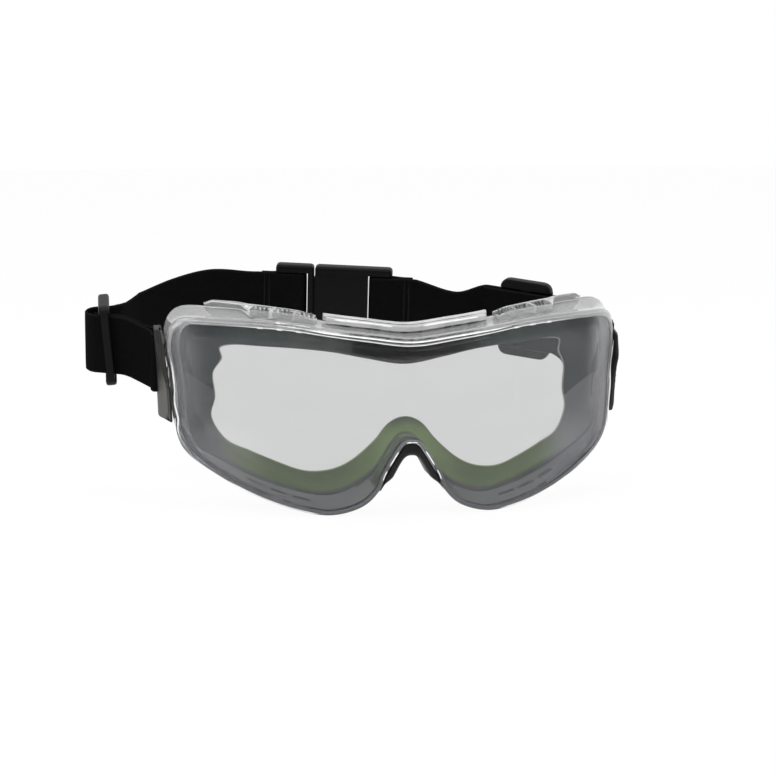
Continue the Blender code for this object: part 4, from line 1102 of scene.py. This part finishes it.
class GogglesStage(bpy.types.PropertyGroup):
    """Camera a user may change."""

    camera_place: bpy.props.FloatVectorProperty(
        name="Camera place", description="Where the camera stands", subtype="TRANSLATION", unit="LENGTH", size=3,
        default=(-0.13929, -0.87213, 0.12466))
    camera_aim: bpy.props.FloatVectorProperty(
        name="Camera aim", description="Point the camera looks at", subtype="TRANSLATION", unit="LENGTH", size=3,
        default=(-0.0054, 0.009, -0.0006))
    camera_roll: bpy.props.FloatProperty(
        name="Camera roll", description="Turn of the camera about its line of sight", unit="ROTATION",
        default=math.radians(-0.26))
    camera_lens: bpy.props.FloatProperty(
        name="Camera lens", description="Focal length in millimetres on a 36 mm sensor", default=107.06, min=1.0)


class GOGGLES_OT_frame(bpy.types.Operator):
    """Clear frame moulding with its lens groove, waved rim, brow tabs, vent openings and lower slots"""

    bl_idname = "goggles.frame"
    bl_label = "Frame moulding"

    def execute(self, context):
        sizes = context.scene.goggles_sizes
        seat = LENS_THICKNESS + SEAT_GAP
        rails = [ring(lambda u: rim_point(u, lens_reach(u) - EDGE_LIP, LIP_ROLL - front_height(u)))]
        rails += [self.front(*shape) for shape in FRONT_RAILS]
        rails += [self.corner(*shape) for shape in CORNER_RAILS]
        rails += [self.wall(*shape) for shape in WALL_RAILS]
        rails += [ring(rear_edge), ring(lambda u: rear_edge(u, FRAME_WALL))]
        for out, depth in ((-BACK_LIP, seat + GROOVE_WALL), (-BACK_LIP, seat), (SEAT_GAP, seat), (SEAT_GAP, -SEAT_GAP),
                           (-EDGE_LIP, -SEAT_GAP)):
            rails.append(ring(lambda u: rim_point(u, lens_reach(u) + out, depth)))
        shell = piece("frame_moulding", skin(rails), clear_vinyl(context.scene.goggles_colours), 30.0)
        slots = []
        for side in (1, -1):
            for u in vent_stations():
                slots.append(wall_cutter(u, VENT_SHARE, VENT_CELL, VENT_DEPTH, CUTTER_HEIGHT, side))
            for u in LOWER_SLOTS:
                slots.append(wall_cutter(u, LOWER_SLOT_SHARE, sizes.lower_slot_length, sizes.lower_slot_width,
                                         CUTTER_HEIGHT, side))
        carve(shell, gather(*slots))
        # Tabs and pale rods carry painted highlights; dark rods carry painted dark lines
        highlight_finish = pale_highlight_vinyl()
        join_to(shell, gather(*[self.tab(u, side) for side in (1, -1) for u in TAB_STATIONS]), highlight_finish)
        edges = [self.edge_line(side, *shape) for shape in EDGE_LINES for side in (1, -1)]
        for finish, strands, lines, more in ((highlight_finish, PALE_STRANDS, PALE_LINES, edges),
                                             (painted_dark_edge(), DARK_STRANDS, DARK_LINES, [])):
            rods = [self.strand(*shape) for shape in strands] + [self.brow_line(*shape) for shape in lines]
            join_to(shell, gather(*rods, *more), finish)
        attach(shell, "frame")
        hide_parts("frame_shell")
        return {"FINISHED"}

    def front(self, share, swell, line):
        """Across the front of the rim: grooved along the brow, a plain bead at the right, a waved one at the left."""
        def place(u, waves):
            start, end = lens_reach(u) - EDGE_LIP, rim_width(u) - rim_round(u) - waves * waist(u)
            middle = math.sin(math.pi * share) * side_share(u)
            wave = waves * WAVE_SWING * math.sin(WAVE_PACE * u) * middle
            depth = -front_height(u) + (shoulder(u) + front_height(u)) * share
            swing = BEAD_WAVED + BEAD_SWING * math.sin(BEAD_PACE * u + BEAD_START)
            bead = swell * side_share(u) * (BEAD_PLAIN + waves * swing)
            return rim_point(u, start + (end - start) * (share + wave), depth - bead + line * brow_share(u))
        return waved_ring(place)

    def corner(self, inset, drop):
        """Along the rounded outer corner of the rim, at shares of its radius."""
        def place(u, waves):
            radius = rim_round(u)
            return rim_point(u, rim_width(u) - waves * waist(u) - radius * inset, shoulder(u) + radius * drop)
        return waved_ring(place)

    def wall(self, share, lift):
        """Along the outer wall behind the rim."""
        def place(u, waves):
            start = rim_back(u, waves * waist(u))
            out = deck_frame(u, share)[3]
            return start + (rear_edge(u) - start) * share + out * lift
        return waved_ring(place)

    def tab(self, u, side):
        """A small tab under the brow's rim, painted pale as a highlight."""
        at, ahead = (rim_point(v, lens_reach(v) - TAB_DROP, TAB_DEPTH) for v in (u, u + 0.05))
        at, run = sided([at, (ahead - at).normalized()], side)
        tab = box(TAB_SIZE, at, run.to_track_quat("X", "Z").to_matrix())
        bmesh.ops.bevel(tab, geom=tab.edges[:], offset=TAB_BEVEL, segments=2, profile=0.5, affect="EDGES", material=-1)
        return tab

    def strand(self, side, middle, swing, pace, start, thick):
        """A thin rod along a wavy edge of the rim at one temple, carrying a painted highlight or a painted dark line.
        """
        points = []
        for u in spread(STRAND_START, STRAND_END, 90):
            out = middle + swing * math.sin(pace * u + start)
            points.append(rim_point(u, out, STRAND_DEPTH + STRAND_ROLL * math.sin(pace * STRAND_ROLL_PACE * u)))
        return rod(sided(points, side), thick)

    def edge_line(self, side, start, end, thick):
        """A pale rod along the lower rim or the nose arch, a painted highlight."""
        points = [rim_point(u, rim_width(u) * EDGE_LINE_SHARE, -EDGE_PROUD) for u in spread(start, end, 40)]
        return rod(sided(points, side), thick)

    def brow_line(self, share, depth, thick, reach):
        """A thin rod along the front of the brow's rim, carrying a painted highlight or a painted dark line."""
        points = []
        for u in (reach * (k / 60.0 - 1.0) for k in range(121)):
            start, end = lens_reach(abs(u)) - EDGE_LIP, RIM_TOP - RIM_ROUND
            points += sided([rim_point(abs(u), start + (end - start) * share, -GROOVE_WALL + depth)], u)
        return rod(points, thick)


class GOGGLES_OT_lens(bpy.types.Operator):
    """Curved lens sheet: the flat outline cut into narrow strips, bent and thickened"""

    bl_idname = "goggles.lens"
    bl_label = "Lens sheet"

    def execute(self, context):
        bm = bmesh.new()
        edges = [(k / SAMPLES, *lens_edge(k / SAMPLES)) for k in range(LAST * SAMPLES + 1)]
        half = [edge + normal * lens_reach(u) for u, edge, normal in edges]
        loop = half + [Vector((-p.x, p.y)) for p in half[-2:0:-1]]
        bm.faces.new([bm.verts.new((p.x, 0, p.y)) for p in loop])
        reach = LENS_HALF_ARC + LENS_REACH
        for k in range(1, int(2.0 * reach / LENS_STRIP)):
            cut = Vector((-reach + k * LENS_STRIP, 0, 0))
            bmesh.ops.bisect_plane(bm, geom=bm.verts[:] + bm.edges[:] + bm.faces[:], plane_co=cut,
                                   plane_no=(1, 0, 0), dist=1e-7)
        for vert in bm.verts:
            vert.co = on_lens(Vector((vert.co.x, vert.co.z)))
        bmesh.ops.recalc_face_normals(bm, faces=bm.faces)
        if sum(face.normal.y * face.calc_area() for face in bm.faces) > 0:
            bmesh.ops.reverse_faces(bm, faces=bm.faces)
        sheet = piece("lens_sheet", bm, coated_lens(context.scene.goggles_colours))
        thick = sheet.modifiers.new("sheet_thickness", "SOLIDIFY")
        thick.thickness = LENS_THICKNESS
        thick.offset = -1.0
        settle(sheet)
        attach(sheet, "frame")
        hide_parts("lens")
        return {"FINISHED"}


class GOGGLES_OT_seal(bpy.types.Operator):
    """Soft face seal and the black nose saddle"""

    bl_idname = "goggles.seal"
    bl_label = "Face seal and nose saddle"

    def execute(self, context):
        rows = [(0.0, SEAL_ROOT_DEPTH)] + [(share, 0.0) for share in SEAL_SHARES]
        rows += [(1.0, depth) for depth in SEAL_EDGE_DEPTHS]
        rows += [(share, SEAL_THICKNESS) for share in reversed(SEAL_SHARES)]
        rails = [self.rail(share, back) for share, back in rows]
        # Own map: shares from the frame to the opening on the front, and on from there back to the frame behind
        shares = [0.0] + SEAL_SHARES + [1.0, 1.0] + [2.0 - share for share in reversed(SEAL_SHARES)] + [2.0]
        measures = ([MM * k for k in range(len(rails[0]) + 1)], [MM * share for share in shares])
        seal = piece("seal_flange", skin(rails, measures=measures), seal_rubber(context.scene.goggles_colours))
        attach(seal, "frame")
        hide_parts("face_seal")
        self.saddle()
        return {"FINISHED"}

    def rail(self, share, back):
        """Round the flange at a share of the way from the frame to the opening, with its bulge away from the lens."""
        def place(u):
            start, end = rear_edge(u) + Vector((0, SEAT_GAP, 0)), opening_edge(u)
            point = start + (end - start) * share
            straight = start.y + (end.y - start.y) * share
            middle = max(start.y, (start.y + end.y) * 0.5) + SEAL_BULGE
            swell = math.sin(math.pi * share)
            point.y = straight + (middle - (start.y + end.y) * 0.5) * swell + back
            return point
        return ring(place)

    def saddle(self):
        """Black saddle that lines the nose arch."""
        arch = outline(NOSE_ARCH_SHAPE, LENS_HALF_ARC, LENS_RISE, LENS_DROP)
        steps = (LAST - NOSE_PAD_START) * SAMPLES
        stations = [NOSE_PAD_START + k / SAMPLES for k in range(steps + 1)]
        rails = []
        for inward, depth in SADDLE_SECTION:
            half = []
            for u in stations:
                front, back = rim_point(u, rim_width(u) + SEAT_GAP, 0.0), rear_edge(u, -SEAT_GAP)
                outer = front + (back - front) * depth
                flat = spline(arch, u - NOSE_PAD_START)
                inner = Vector((flat.x, outer.y, flat.y))
                half.append(outer + (inner - outer) * inward * along(u, SADDLE_TAPER))
            rails.append(half + [mirrored(p) for p in half[-2::-1]])
        saddle = piece("nose_saddle", skin(rails, closed_along=False), pad_rubber())
        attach(saddle, "frame")
        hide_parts("nose_pad")


class GOGGLES_OT_deck(bpy.types.Operator):
    """Clear brow bridge and vent blocks on the deck, and the bosses that the clips turn on"""

    bl_idname = "goggles.deck"
    bl_label = "Deck pieces"

    def execute(self, context):
        finish = clear_vinyl(context.scene.goggles_colours)
        self.bridge()
        for side, name in ((-1, "left"), (1, "right")):
            self.vent_block(side, name, finish, context.scene.goggles_sizes.louvre_radius)
            self.pivot_boss(side, name, finish)
        return {"FINISHED"}

    def bridge(self):
        """Two layers above the nose painted bright as highlights, with painted dark lines and painted glints along
        them.
        """
        stations = [BROW_END * (k / 24.0 - 1.0) for k in range(49)]

        def lift(u):
            return BROW_LIFT * along(abs(u), [(BROW_LIFT_FROM, 0.0), (BROW_END, 1.0)])

        layers = []
        for start, end, base, height, reach in BRIDGE_LAYERS:
            sections = [rounded_section(u * reach, start, end, SEAT_GAP + base + lift(u * reach), height)
                        for u in stations]
            layers.append(skin(list(zip(*sections)), closed_along=False))
        bridge = piece("brow_bridge", gather(*layers), highlight_vinyl(), 30.0)
        lines = []
        for share, height, thick in BRIDGE_LINES:
            lines.append(rod([on_deck(u * BRIDGE_LINE_REACH, share, height + lift(u)) for u in stations], thick))
        join_to(bridge, gather(*lines), painted_dark_edge())
        glints = []
        for side in (1.0, -1.0):
            run = [side * (GLINT_START + GLINT_RUN * k / 40.0) for k in range(41)]
            glints.append(rod([on_deck(u, GLINT_SHARE, GLINT_HEIGHT) for u in run], GLINT_RADIUS))
        join_to(bridge, gather(*glints), pale_highlight_vinyl())
        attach(bridge, "frame")
        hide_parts("brow_cover")

    def pivot_boss(self, side, name, finish):
        """Round boss between the frame and the clip that turns on it."""
        boss = bmesh.new()
        bmesh.ops.create_cone(boss, cap_ends=True, segments=40, radius1=LUG_RADIUS, radius2=LUG_RADIUS,
                              depth=LUG_LENGTH)
        middle = clip_seat(PIVOT_Z) - SEAT_GAP + LUG_LENGTH * 0.5
        turn = Matrix.Rotation(math.radians(90.0), 4, "Y")
        boss.transform(Matrix.Translation((side * middle, PIVOT_Y, PIVOT_Z)) @ turn)
        lug = piece("pivot_boss_" + name, boss, finish)
        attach(lug, "frame")
        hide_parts("pivot_lug_" + name)

    def vent_block(self, side, name, finish, louvre_radius):
        """Clear block with three louvred cells and a fin."""
        fronts = [(VENT_START, VENT_FRONT), (VENT_END, VENT_FRONT), (VENT_END + 0.25, FIN_FRONT), (FIN_END, FIN_TIP)]
        heights = [(VENT_START, VENT_START_HEIGHT), (VENT_START + 0.5, VENT_HEIGHT), (FIN_END - 0.3, VENT_HEIGHT),
                   (FIN_END, FIN_TIP_HEIGHT)]
        sections = [sided(rounded_section(u, along(u, fronts), VENT_BACK, SEAT_GAP, along(u, heights) - SEAT_GAP), side)
                    for u in spread(VENT_START, FIN_END, 60)]
        block = piece("vent_block_" + name, skin(list(zip(*sections)), closed_along=False), finish, 30.0)
        cells = [wall_cutter(u, VENT_SHARE, VENT_OPEN_LENGTH, VENT_OPEN_DEPTH, 4.0 * VENT_HEIGHT, side)
                 for u in vent_stations()]
        carve(block, gather(*cells))
        louvres = []
        wide, deep = VENT_CELL * 0.5, VENT_DEPTH * 0.5
        for u in vent_stations():
            point, run, back, out = deck_frame(u, VENT_SHARE)
            for start in LOUVRE_STARTS:
                low = point + run * (wide * start) - back * (deep * LOUVRE_FRONT) + out * (VENT_HEIGHT * 0.5)
                high = point + run * (wide * (start + LOUVRE_SLANT)) + back * (deep * LOUVRE_BACK) + out * VENT_HEIGHT
                bar = [low + (high - low) * (k / 8.0) for k in range(9)]
                louvres.append(rod(sided(bar, side), louvre_radius))
        # The louvre bars are painted dark, standing for reflections of the dark strap seen through the clear block
        join_to(block, gather(*louvres), painted_dark_edge())
        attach(block, "frame")
        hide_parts("vent_cap_" + name)


class GOGGLES_OT_strap(bpy.types.Operator):
    """Woven elastic bands on both sides"""

    bl_idname = "goggles.strap"
    bl_label = "Elastic strap"

    def execute(self, context):
        finish = woven_elastic(context.scene.goggles_colours)
        thread, thread_radius = sewing_thread(), context.scene.goggles_sizes.thread_radius
        along_left, across_left = SLIDE_LEFT_ALONG, across_of(SLIDE_LEFT_ALONG)

        def by_slide(forward, across):
            return SLIDE_LEFT + along_left * forward + across_left * across

        wrap = clip_wrap(-1)
        tail = slide_route(SLIDE_LEFT, along_left, -LAYER_TAIL, -FOLD_AT - TAIL_OVERHANG, TAIL_PAST_SLIDE_LEFT)
        front = slide_route(SLIDE_LEFT, along_left, -LAYER_FRONT, RUN_PAST_SLIDE_LEFT, -FOLD_AT)
        to_wrap = smooth_path([tail[1], wrap[-1] + TAIL_BY_CLIP_LEFT, wrap[-1]], 10)
        from_wrap = smooth_path([wrap[0], wrap[0] + RUN_BY_CLIP_LEFT, front[0]], 10)
        route = evened([tail[0]] + to_wrap[:-1] + wrap[::-1] + from_wrap[1:] + front[1:])
        front_piece = band("elastic_front_left", route, finish)
        to_row(by_slide(0.0, 0.0), LIFT_SLIDE_LEFT)
        to_row(by_slide(RUN_PAST_SLIDE_LEFT, 0.0), LIFT_SLIDE_LEFT)
        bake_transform(front_piece)
        self.tell(front_piece, "strap_front_left")

        radius = (LAYER_FRONT + LAYER_REAR) * 0.5
        middle = (LAYER_REAR - LAYER_FRONT) * 0.5
        fold = [by_slide(-FOLD_AT - radius * math.sin(a), middle - radius * math.cos(a))
                for a in spread(0.0, math.pi, 24)]
        bend = [fold[-1]] + [by_slide(p.x, p.y) for p in FOLD_BEND] + [FOLD_END]
        fold_piece = band("elastic_fold_left", evened(fold[:-1] + smooth_path(bend, 10)), finish)
        to_row(by_slide(0.0, FOLD_REST), 0.0)
        to_row(FOLD_END, 0.0)
        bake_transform(fold_piece)
        self.tell(fold_piece, "strap_fold_left")

        loop = buckle_loop(TONGUE_BAR_AT, -1)
        run = [FOLD_END] + RUN_LEFT + [loop[0]]
        rear_piece = band("elastic_rear_left", evened(smooth_path(run, 12)[:-1] + loop), finish)
        stitch(rear_piece, thread, TONGUE_BAR_AT, -1, thread_radius)
        to_row(FOLD_END, 0.0)
        to_row(loop[1], 0.0)
        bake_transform(rear_piece)
        self.tell(rear_piece, "strap_rear_left")

        wrap = clip_wrap(1)
        running = slide_route(SLIDE_RIGHT, SLIDE_RIGHT_ALONG, 0.0, RUN_PAST_SLIDE_RIGHT, -RUN_PAST_SLIDE_RIGHT)
        tail = slide_route(SLIDE_RIGHT, SLIDE_RIGHT_ALONG, -LAYER_UNDER, -TAIL_PAST_SLIDE_RIGHT, TAIL_PAST_SLIDE_RIGHT)
        to_wrap = smooth_path([tail[1], wrap[-1] + TAIL_BY_CLIP_RIGHT, wrap[-1]], 10)
        from_wrap = smooth_path([wrap[0], wrap[0] + RUN_BY_CLIP_RIGHT, running[0]], 10)
        loop = buckle_loop(SOCKET_BAR_AT, 1)
        run = smooth_path([running[1], RUN_RIGHT, loop[0]], 12)
        route = [tail[0]] + to_wrap[:-1] + wrap[::-1] + from_wrap[1:-1] + running[:1] + run[:-1] + loop
        right_piece = band("elastic_right", evened(route), finish)
        stitch(right_piece, thread, SOCKET_BAR_AT, 1, thread_radius)
        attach(right_piece, "band_right")
        self.tell(right_piece, "strap_right")
        return {"FINISHED"}

    def tell(self, obj, node):
        """Hide the part's node that a band stands for."""
        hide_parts(node)


def clip_seat(z):
    """How far out the frame stands near a height, for the clip to lie close to it."""
    reach = [0.0]
    for u in (CLIP_SEAT_FROM + CLIP_SEAT_STEP * k for k in range(CLIP_SEAT_STATIONS)):
        for point in (rim_point(u, rim_width(u), shoulder(u) + rim_round(u)), rear_edge(u)):
            if abs(point.z - z) < CLIP_SWING:
                reach.append(point.x)
    return max(reach)


def clip_shell(side):
    """Thin plate that lies along the frame with a leaf-shaped wedge on it that carries the strap's slot and bar."""
    top, low = CLIP_HEIGHT * 0.5 - CLIP_DROP, -CLIP_HEIGHT * 0.5 - CLIP_DROP
    rear = CLIP_BAR_START + CLIP_BAR
    slot = CLIP_BAR_START - CLIP_SLOT
    sections = []
    for row in range(61):
        z = low + (top - low) * (0.5 - 0.5 * math.cos(math.pi * row / 60.0))
        share = (top - z) / CLIP_HEIGHT
        from_end = min(min(top - z, z - low) / CLIP_ROUND, 1.0)
        inset = CLIP_ROUND * (1.0 - math.sqrt(1.0 - (1.0 - from_end) ** 2))
        front = along(share, CLIP_FRONT_LINE)
        inner = CLIP_INNER_X - CLIP_LEAN * share
        close = min(inner, clip_seat(PIVOT_Z + z) + SEAT_GAP)
        outer = inner + CLIP_THICK + (CLIP_THIN - CLIP_THICK) * share
        leaf = max(along(share, CLIP_LEAF), front + CLIP_EDGE)
        trim = along(share, CLIP_TRIM) if side > 0 else 0.0
        plate = close + CLIP_PLATE * (1.0 if side < 0 else along(share, CLIP_PLATE_RIGHT))

        def wedge(y):
            full = plate + (outer - plate) * min(1.0, max(0.0, (y - front) / (slot - front)))
            return plate + (full - plate) * along(y, [(leaf, 0.0), (leaf + LEAF_RUN, 1.0)]) - inset - trim

        section = [(inner + inset, rear - inset), (inner + inset, slot), (close + inset, slot - CLIP_STEP),
                   (close + inset, front + CLIP_EDGE), (close + CLIP_EDGE, front + inset)]
        ridge = max(leaf + LEAF_RUN, front + LEAF_CLEAR)
        ys = spread(front + CLIP_NOSE, leaf, 8)[:-1] + spread(leaf, ridge, 6)[:-1] + spread(ridge, rear - inset, 14)
        section += [(wedge(y), y) for y in ys]
        heel = CLIP_HEEL * along(share, [(0.5, 0.0), (1.0, 1.0)])
        sections.append([to_row(Vector((side * x, y)), z - heel * (y - front) / (rear - front)) for x, y in section])
    return skin(list(zip(*sections)), closed_along=False)


def strap_box(side, x0, x1, y0, y1, half_height):
    """A box in the strap's tilted frame on one side."""
    centre = to_row(Vector((side * (x0 + x1) * 0.5, (y0 + y1) * 0.5)), 0.0)
    return box((x1 - x0, y1 - y0, 2.0 * half_height), centre, Matrix.Rotation(STRAP_TILT, 3, "X"))


class GOGGLES_OT_hardware(bpy.types.Operator):
    """Clips, slides and buckle halves in moulded plastic"""

    bl_idname = "goggles.hardware"
    bl_label = "Clips, slides and buckle"

    def execute(self, context):
        colours = context.scene.goggles_colours
        finish = moulded_plastic("moulded_plastic", colours.hardware, 0.12)
        clip_finish = moulded_plastic("clip_plastic", colours.clip, 0.12)
        for name in ("slide_left", "slide_right", "buckle_tongue", "buckle_socket"):
            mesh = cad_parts[name].data
            mesh.materials.clear()
            mesh.materials.append(finish.material)
        x, far = CLIP_INNER_X, 2.0 * CLIP_THICK
        rear = CLIP_BAR_START + CLIP_BAR
        # The slot through the clip, and the rooms for the strap outside and inside the bar
        cuts = [(x - far, x + far, CLIP_BAR_START - CLIP_SLOT, CLIP_BAR_START),
                (x + CLIP_BAR_THICKNESS, x + far, CLIP_BAR_START - CLIP_CUT_LAP, rear + far),
                (x - far, x, CLIP_BAR_START - CLIP_CUT_LAP, rear + far)]
        for side, name in ((-1, "left"), (1, "right")):
            clip = piece("strap_clip_" + name, clip_shell(side), clip_finish, 35.0)
            for cut in cuts:
                carve(clip, strap_box(side, *cut, CLIP_WINDOW))
            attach(clip, "band_" + name)
            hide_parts("clip_" + name)
        return {"FINISHED"}


class GOGGLES_OT_stage(bpy.types.Operator):
    """Camera, soft lights, pale floor and white world"""

    bl_idname = "goggles.stage"
    bl_label = "Stage"

    def execute(self, context):
        stage = context.scene.goggles_stage
        self.camera(stage)
        self.world()
        self.floor()
        for lamp in LAMPS:
            self.lamp(*lamp)
        context.scene.view_settings.view_transform = "Standard"
        return {"FINISHED"}

    def camera(self, stage):
        data = bpy.data.cameras.new("photo_camera")
        data.sensor_width = SENSOR_WIDTH
        data.lens = stage.camera_lens
        camera = bpy.data.objects.new("photo_camera", data)
        place, aim = Vector(stage.camera_place), Vector(stage.camera_aim)
        turn = (aim - place).to_track_quat("-Z", "Y").to_matrix().to_4x4()
        camera.matrix_world = Matrix.Translation(place) @ turn @ Matrix.Rotation(stage.camera_roll, 4, "Z")
        bpy.context.scene.collection.objects.link(camera)
        bpy.context.scene.camera = camera

    def lamp(self, name, place, size, power, mirrored_in_gloss):
        data = bpy.data.lights.new(name, "AREA")
        data.shape = "DISK"
        data.size = size
        data.energy = power
        lamp = bpy.data.objects.new(name, data)
        turn = (LAMP_AIM - Vector(place)).to_track_quat("-Z", "Y").to_matrix().to_4x4()
        lamp.matrix_world = Matrix.Translation(place) @ turn
        lamp.visible_glossy = mirrored_in_gloss
        bpy.context.scene.collection.objects.link(lamp)

    def world(self):
        """White room that is dim in front of the goggles, where the camera stands."""
        world = bpy.data.worlds.new("white_room")
        world.use_nodes = True
        bpy.context.scene.world = world
        room = Nodes(world.node_tree)
        back, up = room.parts("Generated", "YZ")
        bright = back.ranged(from_min=-0.45, from_max=0.1).most(up.ranged(from_min=0.25, from_max=0.6))
        mirrored_room = bright.ranged(to_min=ROOM_MIRRORED_DIM, to_max=1.0)
        seen = room.ray("Is Glossy Ray").most(room.ray("Is Transmission Ray"))
        strength = room.node("ShaderNodeMix", None, {0: seen, 2: ROOM_LIGHT, 3: mirrored_room})
        strength = room.node("ShaderNodeMix", None, {0: room.ray("Is Camera Ray"), 2: strength, 3: 1.0})
        background = room.tree.nodes["Background"]
        room.feed(background.inputs["Color"], (1.0, 1.0, 1.0))
        room.feed(background.inputs["Strength"], strength)

    def floor(self):
        """Pale disc that keeps the shadow and is white to the camera, in gloss and through clear pieces."""
        low = Matrix.Translation((0, 0, CAD_BOX[0][2] - FLOOR_GAP))
        bm = bmesh.new()
        bmesh.ops.create_circle(bm, cap_ends=True, segments=64, radius=FLOOR_RADIUS, matrix=low)
        finish = Finish("pale_floor", 0.9, 0.0)
        finish.set("Base Color", (0.9, 0.9, 0.9))
        seen = finish.ray("Is Camera Ray").most(finish.ray("Is Glossy Ray")).most(finish.ray("Is Transmission Ray"))
        glow = finish.node("ShaderNodeEmission", None, {"Color": (1.0, 1.0, 1.0), "Strength": 1.0})
        surface = Signal(finish, finish.shader.outputs[0])
        mixed = finish.node("ShaderNodeMixShader", None, {0: seen * FLOOR_WHITE, 1: surface, 2: glow})
        finish.feed(finish.tree.nodes["Material Output"].inputs["Surface"], mixed)
        piece("floor", bm, finish)


class GOGGLES_PT_panel(bpy.types.Panel):
    """Lists the builders of the goggles"""

    bl_idname = "GOGGLES_PT_panel"
    bl_label = "Safety goggles"
    bl_space_type = "VIEW_3D"
    bl_region_type = "UI"
    bl_category = "Goggles"

    def draw(self, context):
        for name in ("vinyl", "smoke", "coating_sheen", "seal", "seal_low_with_light", "hardware", "clip", "elastic"):
            self.layout.prop(context.scene.goggles_colours, name)
        for name in ("lower_slot_length", "lower_slot_width", "louvre_radius", "thread_radius"):
            self.layout.prop(context.scene.goggles_sizes, name)
        for name in ("camera_place", "camera_aim", "camera_roll", "camera_lens"):
            self.layout.prop(context.scene.goggles_stage, name)
        for operator in OPERATORS:
            self.layout.operator(operator.bl_idname)


OPERATORS = (GOGGLES_OT_frame, GOGGLES_OT_lens, GOGGLES_OT_seal, GOGGLES_OT_deck, GOGGLES_OT_strap,
             GOGGLES_OT_hardware, GOGGLES_OT_stage)
CLASSES = (GogglesColours, GogglesSizes, GogglesStage) + OPERATORS + (GOGGLES_PT_panel,)


def register():
    for cls in CLASSES:
        bpy.utils.register_class(cls)
    bpy.types.Scene.goggles_colours = bpy.props.PointerProperty(type=GogglesColours)
    bpy.types.Scene.goggles_sizes = bpy.props.PointerProperty(type=GogglesSizes)
    bpy.types.Scene.goggles_stage = bpy.props.PointerProperty(type=GogglesStage)


def unregister():
    del bpy.types.Scene.goggles_stage
    del bpy.types.Scene.goggles_sizes
    del bpy.types.Scene.goggles_colours
    for cls in reversed(CLASSES):
        bpy.utils.unregister_class(cls)


def main():
    register()
    bpy.ops.goggles.frame()
    bpy.ops.goggles.lens()
    bpy.ops.goggles.seal()
    bpy.ops.goggles.deck()
    bpy.ops.goggles.strap()
    bpy.ops.goggles.hardware()
    bpy.ops.goggles.stage()


if __name__ == "__main__":
    main()
